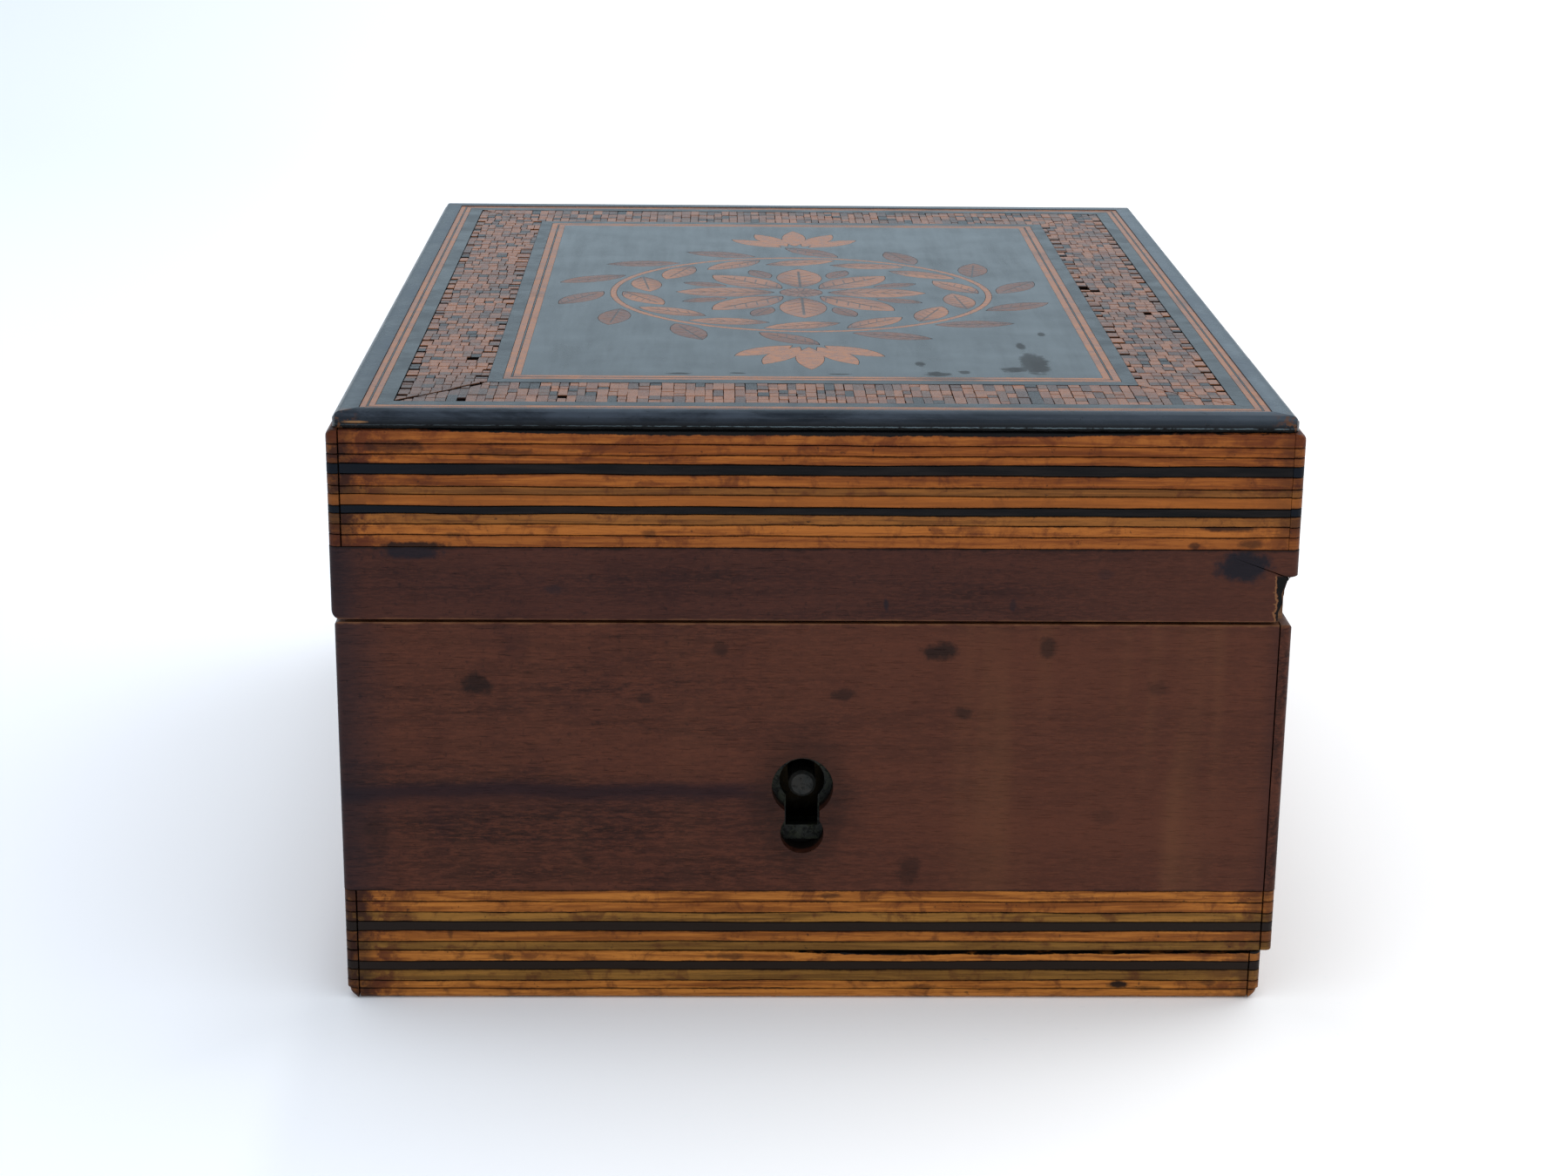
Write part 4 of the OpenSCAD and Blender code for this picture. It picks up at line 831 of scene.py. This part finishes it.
def strip_runs(low, high):
    """Places of the sections along a strip: close together at its ends."""
    count = max(2, round((high - low) / SECTION_STEP))
    runs = [low + e for e in END_STEPS]
    runs += [low + CORNER_R + (high - low - 2 * CORNER_R) * i / count for i in range(1, count)]
    return runs + [high - e for e in reversed(END_STEPS)]


def crack_width(run):
    """Opening of the foot band's crack: widest soon after its start, half shut at the right end."""
    share = (run - CRACK_START) / (LID_HALF_X - CRACK_START)
    widest = min(share * 3.2, 1.0) * (1 - 0.5 * share)
    return CRACK * widest * (1 + 0.6 * noise.noise(Vector((run * 420, 3, 5))))


def add_tube(bm, rings):
    """Skin over a run of rings of vertices, closed at both ends."""
    for a, b in zip(rings, rings[1:]):
        for i in range(len(a)):
            j = (i + 1) % len(a)
            bm.faces.new((a[i], a[j], b[j], b[i]))
    bm.faces.new(rings[0])
    bm.faces.new(reversed(rings[-1]))


def finished_mesh(bm, name):
    """The mesh of a bmesh, with its faces turned outward."""
    bmesh.ops.recalc_face_normals(bm, faces=bm.faces)
    mesh = bpy.data.meshes.new(name)
    bm.to_mesh(mesh)
    bm.free()
    return mesh


def add_strip(bm, layers, low, high, tone):
    """One strip as a run of uneven sections between the corners low and high."""
    tones, rises, runs, ends = layers
    along = 0 if high.x - low.x > high.y - low.y else 1
    cross = 1 - along
    outward = 1 if low[cross] + high[cross] > 0 else -1
    inner, outer = (low[cross], high[cross]) if outward > 0 else (high[cross], low[cross])
    side = outward + 3 * along
    foot = high.z < FOOT_TOP + NEAR
    foot_r = (FOOT_SIDE_R if along else FOOT_FRONT_R) if foot else 0.0
    brow = along and abs(high.z - BOARD_TOP) < NEAR
    levels = ROUND_LEVELS if brow or (foot and low.z < foot_r) else 1
    rings = []
    for run in strip_runs(low[along], high[along]):
        z0 = boundary(low.z, run, side, 1) if low.z > NEAR * 2 else low.z
        z1 = boundary(high.z, run, side, -1)
        if abs(high.z - FOOT_TOP) < NEAR and side == -1 and run > CRACK_START:
            z1 -= crack_width(run)
        end = min(run - low[along], high[along] - run)
        pull = DENT * (1 + noise.noise(Vector((run * 150, z0 * 900, side * 3.1)))) / 2
        pull += rounding(end, CORNER_R) if along else 0
        ring = []
        for level in range(levels + 1):
            z = z0 + (z1 - z0) * level / levels
            worn = pull + (rounding(z, foot_r) if foot else 0)
            worn += rounding(BOARD_TOP - z, BROW_R) if brow else 0
            place = outer - outward * min(worn, abs(outer - inner) * 0.97)
            ring.append((place, z, level / levels))
        ring += [(inner, z1, 1.0), (inner, z0, 0.0)]
        verts = []
        for place, z, rise in ring:
            co = Vector((0, 0, z))
            co[along], co[cross] = run, place
            vert = bm.verts.new(co)
            vert[tones], vert[rises], vert[runs] = tone, rise, run / MM
            vert[ends] = end / MM
            verts.append(vert)
        rings.append(verts)
    add_tube(bm, rings)


def uneven_strips(node, material):
    """All strips of one wood in a band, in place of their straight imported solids."""
    bm = bmesh.new()
    layers = [bm.verts.layers.float.new(name) for name in ("tone", "rise", "run", "end")]
    rng = random.Random(node)
    for low, high in boxes_of(node):
        if node.startswith("lid") and high.x - low.x > high.y - low.y:
            high.x += CLOSED_SEAM
        add_strip(bm, layers, low, high, rng.random())
    name = node + "_uneven"
    soften(new_piece(name, finished_mesh(bm, name), material, node), STRIP_BEVEL, 1)


# Mosaic of the lid's border, in metres
TILE_GAP = 0.07 * MM
TILE_W = 1.0 * MM
TILE_ROWS = 3
SLICE = 3.0 * MM
MITRE_GAP = 0.06 * MM
TILE_CHAMFER = 0.05 * MM
TILE_DROP = 0.05 * MM
TILE_FOOT = BOARD_TOP + 0.3 * MM
DARK_SHARE = 0.07
MISSING_SHARE = 0.003
DARK_TONE = 0.9
LIGHT_TONES = 0.78
MOSAIC_SEED = 7
# Random spreads of the tiles' widths, cuts and corners, and of the gaps at shut and open mitres
COLUMN_SPREAD = (0.85, 1.3)
SLICE_SPREAD = (0.85, 1.35)
CUT_DRIFT = 0.12
SPLIT_SHARE = 0.45
SPLIT_AT = (0.35, 0.65)
MIDDLE_AT = (0.42, 0.58)
NOTCH_SHARE = 0.75
CORNER_DRIFT = 0.05
SHUT_MITRE = 0.06
OPEN_MITRE = 0.55
# A slice's notch, least widths of its last and next to last tile, and a tile's least area
NOTCH = 0.75 * MM
LAST_TILE = 0.3 * MM
NEXT_TILE = 0.45 * MM
LEAST_AREA = 0.12 * MM * MM


def clipped(points, half, gap):
    """Part of a convex outline inside the mitred ends of a side of that half length."""
    for sign in (-1, 1):
        out = []
        for a, b in zip(points, points[1:] + points[:1]):
            da, db = ((half - gap) - p[1] - sign * p[0] for p in (a, b))
            if da >= 0:
                out.append(a)
            if (da > 0) != (db > 0) and da != db:
                t = da / (da - db)
                out.append((a[0] + (b[0] - a[0]) * t, a[1] + (b[1] - a[1]) * t))
        points = out
        if len(points) < 3:
            return []
    return points


def area(points):
    """Area of an outline."""
    return abs(sum(a[0] * b[1] - b[0] * a[1] for a, b in zip(points, points[1:] + points[:1]))) / 2


def front_tiles(half, depth, rng):
    """Outlines of the tiles along the front or back: narrow columns, each of three rows or more."""
    tiles = []
    row = depth / TILE_ROWS
    x = -half
    while x < half:
        w = TILE_W * rng.uniform(*COLUMN_SPREAD)
        for i in range(TILE_ROWS):
            cuts = [i * row + rng.uniform(-CUT_DRIFT, CUT_DRIFT) * MM * (i > 0)]
            if rng.random() < SPLIT_SHARE:
                cuts.append(i * row + row * rng.uniform(*SPLIT_AT))
            cuts.append((i + 1) * row)
            tiles += [(x, x + w, a, b) for a, b in zip(cuts, cuts[1:])]
        x += w
    return tiles


def side_tiles(half, depth, rng):
    """Outlines of the tiles along the left or right: cross slices, notched at both edges."""
    tiles = []
    count = round(2 * half / SLICE)
    for i in range(count):
        low = -half + SLICE * i
        middle = low + SLICE * rng.uniform(*MIDDLE_AT)
        v = 0.0
        while v < depth - LAST_TILE:
            w = min(TILE_W * rng.uniform(*SLICE_SPREAD), depth - v)
            if depth - v - w < NEXT_TILE:
                w = depth - v
            at_edge = v == 0 or v + w >= depth - 1e-6
            first = low + (NOTCH if at_edge and rng.random() < NOTCH_SHARE else 0)
            tiles += [(first, middle, v, v + w), (middle, low + SLICE, v, v + w)]
            v += w
    return tiles


def add_tile(bm, tones, outline, turn, across, tone, drop):
    """A tile with a small chamfer round its top."""
    middle = [sum(p[k] for p in outline) / len(outline) for k in (0, 1)]
    top = SHEET_TOP - drop
    rings = []
    for inset, z in ((0, TILE_FOOT), (0, top - TILE_CHAMFER), (TILE_CHAMFER, top)):
        ring = []
        for p in outline:
            away = Vector((p[0] - middle[0], p[1] - middle[1]))
            share = 1 - (TILE_GAP / 2 + inset) / max(away.length, 0.2 * MM)
            u, v = middle[0] + away.x * share, middle[1] + away.y * share
            vert = bm.verts.new(turn @ Vector((u, v - across, z)))
            vert[tones] = tone
            ring.append(vert)
        rings.append(ring)
    add_tube(bm, rings)


def mosaic(material):
    """The border's tiles in five woods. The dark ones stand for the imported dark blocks."""
    meshes = {}
    for kind in ("light", "dark"):
        bm = bmesh.new()
        meshes[kind] = (bm, bm.verts.layers.float.new("tone"))
    rng = random.Random(MOSAIC_SEED)
    depth = MOSAIC_OUT.x - MOSAIC_IN.x
    for side in range(4):
        half, across = (MOSAIC_OUT.x, MOSAIC_OUT.y) if side % 2 == 0 else (MOSAIC_OUT.y, MOSAIC_OUT.x)
        turn = Matrix.Rotation(side * math.pi / 2, 3, "Z")
        make = front_tiles if side % 2 == 0 else side_tiles
        for u0, u1, v0, v1 in make(half, depth, rng):
            drift = [rng.uniform(-CORNER_DRIFT, CORNER_DRIFT) * MM for _ in range(8)]
            corners = [(u0, v0), (u1, v0), (u1, v1), (u0, v1)]
            corners = [(u + drift[2 * i], min(max(v + drift[2 * i + 1], 0), depth))
                       for i, (u, v) in enumerate(corners)]
            at_left_front = (side == 0 and u0 < 0) or (side == 3 and u1 > 0)
            gap = MITRE_GAP + rng.uniform(0, OPEN_MITRE if at_left_front else SHUT_MITRE) * MM
            outline = clipped(corners, half, gap)
            tone, missing = rng.random(), rng.random() < MISSING_SHARE
            drop = rng.uniform(0, 1) * TILE_DROP
            if len(outline) < 3 or missing or area(outline) < LEAST_AREA:
                continue
            dark = rng.random() < DARK_SHARE
            shade = DARK_TONE if dark else tone ** 1.5 * LIGHT_TONES
            bm, tones = meshes["dark" if dark else "light"]
            add_tile(bm, tones, outline, turn, across, shade, drop)
    for kind, (bm, _) in meshes.items():
        name = f"mosaic_{kind}_blocks_tiles"
        new_piece(name, finished_mesh(bm, name), material, f"mosaic_{kind}_blocks")


def veined_leaves(node, material):
    """Copy of inlaid leaves that carries each leaf's own length and width coordinates."""
    mesh = frame["nodes"][node].data.copy()
    mesh.name = node + "_veined"
    layers = [mesh.attributes.new(name, "FLOAT", "POINT") for name in ("leaf_length", "leaf_width", "tone")]
    rng = random.Random(node)
    for group in solids_of(node):
        places = [mesh.vertices[i].co.copy() for i in group]
        flat = [Vector((p.x, p.y)) for p in places]
        middle = sum(flat, Vector((0, 0))) / len(flat)
        tip = max(flat, key=lambda p: (p - middle).length)
        foot = max(flat, key=lambda p: (p - tip).length)
        if foot.length > tip.length and "petals" in node:
            tip, foot = foot, tip
        axis = tip - foot
        half_w = max(abs(axis.x * (p.y - foot.y) - axis.y * (p.x - foot.x)) for p in flat) / axis.length
        tone = rng.random()
        for index, p in zip(group, flat):
            away = p - foot
            layers[0].data[index].value = away.dot(axis) / axis.length_squared
            layers[1].data[index].value = (axis.x * away.y - axis.y * away.x) / axis.length / half_w
            layers[2].data[index].value = tone
    new_piece(node + "_veined", mesh, material, node)


# Camera fitted to the photograph
CAMERA_PLACE = (-0.0101826, -0.3505361, 0.1337865)
CAMERA_PITCH = math.radians(17.0069)
CAMERA_YAW = math.radians(1.385)
CAMERA_ROLL = math.radians(0.6167)
CAMERA_LENS = 66.4859


def make_camera():
    """Camera at its fitted place, rolled a little."""
    data = bpy.data.cameras.new("camera")
    data.lens = CAMERA_LENS
    data.sensor_width = 36.0
    data.sensor_fit = "HORIZONTAL"
    data.clip_start = 0.01
    data.clip_end = 20.0
    camera = bpy.data.objects.new("camera", data)
    bpy.context.scene.collection.objects.link(camera)
    turn = Matrix.Rotation(-CAMERA_YAW, 4, "Z") @ Matrix.Rotation(math.pi / 2 - CAMERA_PITCH, 4, "X")
    turn = turn @ Matrix.Rotation(CAMERA_ROLL, 4, "Z")
    camera.matrix_world = Matrix.Translation(CAMERA_PLACE) @ turn
    bpy.context.scene.camera = camera


# Floor colours, and light added for the camera away from the box and in its shade
FLOOR_HALF = 3.0
FLOOR_TONES = ((232, 239, 247), (251, 252, 252))
FLOOR_FAR_LEFT = (216, 226, 231)
FLOOR_SPECKS = (232, 235, 236)
FLOOR_LIFT = 0.1
SHADE_LIFT = 0.08


def make_floor():
    """Pale paper floor, darker and slightly cooler to the left as painted shade, lifted a little to the
    camera's own rays.
    """
    mesh = bpy.data.meshes.new("floor")
    corners = [(x * FLOOR_HALF, y * FLOOR_HALF, 0) for x, y in ((-1, -1), (1, -1), (1, 1), (-1, 1))]
    mesh.from_pydata(corners, [], [(0, 1, 2, 3)])
    floor = bpy.data.objects.new("floor", mesh)
    bpy.context.scene.collection.objects.link(floor)
    g = Graph("floor_paper")
    aside = g.math("DIVIDE", g.x, g.most(g.plus(g.y, 400.0), 100.0))
    # Painted shade: darker and bluer towards the left, as the box's broad soft shadow
    g.ground(aside, -0.28, 0.16, *FLOOR_TONES)
    g.coat(g.times(g.step(g.y, 150.0, 600.0), g.fall(aside, -0.3, -0.02)), FLOOR_FAR_LEFT)
    g.coat(g.step(g.cloud(0.8), 0.6, 0.8), FLOOR_SPECKS, 0.25)
    away_x = g.plus(g.absolute(g.x), -LID_HALF_X / MM)
    away_y = g.plus(g.absolute(g.y), -LID_HALF_Y / MM)
    lift = g.step(g.most(away_x, away_y), -2.0, 22.0, 0.0, FLOOR_LIFT)
    in_shade = g.times(g.step(g.x, -150.0, -75.0), g.fall(g.x, -57.0, -50.0))
    lift = g.plus(lift, g.times(in_shade, SHADE_LIFT))
    lift = g.times(g.add("ShaderNodeLightPath")["Is Camera Ray"], lift)
    mesh.materials.append(g.done(0.9, gloss=0.1, Emission_Color=g.color, Emission_Strength=lift))


WORLD_DIFFUSE = (1.04, 1.05, 1.08, 1)
WORLD_GLOSS_BACK = (0.565, 0.71, 0.815, 1)
WORLD_GLOSS_FRONT = (0.18, 0.20, 0.22, 1)
WORLD_CAMERA_LEFT = (243, 250, 253)
WORLD_CAMERA_RIGHT = (1, 1, 1, 1)


def make_world():
    """Even light, white to the camera; gloss sees a bright room behind and a dimmer one in front."""
    world = bpy.data.worlds.new("studio")
    world.use_nodes = True
    bpy.context.scene.world = world
    w = Nodes(world.node_tree)
    rays = w.add("ShaderNodeLightPath")
    parts = w.add("ShaderNodeSeparateXYZ", {0: w.add("ShaderNodeTexCoord")["Generated"]})
    gloss = w.mix(w.step(parts["Y"], -0.3, 0.5), WORLD_GLOSS_FRONT, WORLD_GLOSS_BACK)
    seen = w.mix(w.step(parts["X"], -0.3, 0.05), WORLD_CAMERA_LEFT, WORLD_CAMERA_RIGHT)
    lit = w.mix(rays["Is Glossy Ray"], WORLD_DIFFUSE, gloss)
    w.link(w.mix(rays["Is Camera Ray"], lit, seen), w.nodes["Background"].inputs["Color"])


LAMP_PLACE = (0.75, 0.55, 0.9)
LAMP_AIM = (0, 0, 0.03)
LAMP_SIZE = 0.9
LAMP_POWER = 4.0


def make_lamp():
    """Soft light from behind on the right."""
    data = bpy.data.lights.new("window", "AREA")
    data.shape = "RECTANGLE"
    data.size = data.size_y = LAMP_SIZE
    data.energy = LAMP_POWER
    lamp = bpy.data.objects.new("window", data)
    bpy.context.scene.collection.objects.link(lamp)
    lamp.location = LAMP_PLACE
    lamp.rotation_euler = (Vector(LAMP_AIM) - Vector(LAMP_PLACE)).to_track_quat("-Z", "Y").to_euler()


# Bevels of veneers and inlay, in millimetres, and the lines cut in the rosette's eye
VENEER_BEVEL = 0.12
INLAY_BEVEL = 0.03
EYE_SPOKES = 16
SIDES = ("front", "back", "left", "right")


def dress_box():
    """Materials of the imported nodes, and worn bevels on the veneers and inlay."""
    lid_range = (LID_VENEER_LOW.z, LID_VENEER_HIGH.z)
    base_range = (BASE_VENEER_LOW.z, BASE_VENEER_HIGH.z)
    dress(walnut_front(), "base_front_veneer")
    dress(walnut_lid_front(), "lid_front_veneer")
    dress(walnut_plain("walnut_base_back", "x", *base_range), "base_back_veneer")
    dress(walnut_plain("walnut_base_sides", "y", *base_range), "base_left_veneer", "base_right_veneer")
    dress(walnut_plain("walnut_lid_back", "x", *lid_range), "lid_back_veneer")
    dress(walnut_plain("walnut_lid_sides", "y", *lid_range), "lid_left_veneer", "lid_right_veneer")
    core_x = core_wood("core_wood_x", "x")
    core_y = core_wood("core_wood_y", "y")
    dress(core_x, "base_front_wall", "base_back_wall", "lid_front_rail", "lid_back_rail")
    dress(core_y, "base_left_wall", "base_right_wall", "lid_left_rail", "lid_right_rail")
    dress(core_y, "bottom_board", "lid_top_board")
    dress(moulding_lacquer(), "edge_moulding")
    dress(fillet_lacquer(), "outer_fillet", "inner_fillet", "outer_string_line", "inner_string_line")
    dress(string_wood(), "outer_string", "inner_string")
    dress(panel_lacquer(), "panel_ground")
    dress(ring_wood("stem_wood", INLAY_TAN, INLAY_DEEP), "wreath_stem")
    dress(ring_wood("eye_wood", INLAY_BROWN, INLAY_DEEP, EYE_SPOKES), "rosette_eye")
    dress(ring_wood("palmette_wood", INLAY_TAN, INLAY_DEEP), "palmettes")
    brass = old_brass("old_brass")
    dress(brass, "base_hinge_leaves", "lid_hinge_leaves", "base_hinge_screws", "lid_hinge_screws")
    lock_brass = old_brass("lock_brass", at_key=True)
    dress(lock_brass, "lock_backplate", "lock_bolt", "lock_guide_studs")
    dress(brass, "lock_screws", "link_plate", "link_plate_screws")
    dress(blackened("lock_cap_brass", *LOCK_CAP_TONES), "lock_cap")
    dress(blackened("drill_pin_steel", *DRILL_PIN_TONES), "lock_drill_pin")
    dress(old_steel(), "hinge_pins", "lock_spring")
    for node in [f"{body}_{side}_veneer" for body in ("base", "lid") for side in SIDES]:
        soften(frame["nodes"][node], VENEER_BEVEL)
    for node in ("outer_string", "inner_string", "outer_fillet", "inner_fillet", "panel_ground"):
        soften(frame["nodes"][node], INLAY_BEVEL, 1)


def dress_bands():
    """The uneven strips of both bands and of the bottom board's edge."""
    lid_light = strip_wood("lid_light_wood", *LID_LIGHT, on_lid=True)
    base_light = strip_wood("base_light_wood", *BASE_LIGHT)
    lid_olive = strip_wood("lid_olive_wood", *LID_OLIVE)
    base_olive = strip_wood("base_olive_wood", *BASE_OLIVE)
    black = strip_black()
    for kind, on_lid, below in (("light", lid_light, base_light), ("olive", lid_olive, base_olive),
                                ("black", black, black)):
        uneven_strips(f"lid_{kind}_strips", on_lid)
        uneven_strips(f"base_{kind}_strips", below)
        uneven_strips(f"foot_{kind}_strips", below)


def dress_inlay():
    """The mosaic's tiles, and veins in the leaves."""
    mosaic(tile_wood())
    light = leaf_wood("leaf_wood", INLAY_TAN, INLAY_DEEP)
    brown = leaf_wood("brown_leaf_wood", INLAY_DEEP, INLAY_BROWN)
    veined_leaves("wreath_light_leaves", light)
    veined_leaves("rosette_petals", light)
    veined_leaves("wreath_brown_leaves", brown)
    veined_leaves("rosette_tips", brown)


make_camera()
make_floor()
make_world()
make_lamp()
dress_box()
dress_bands()
dress_inlay()
bpy.context.scene.view_settings.view_transform = "Standard"
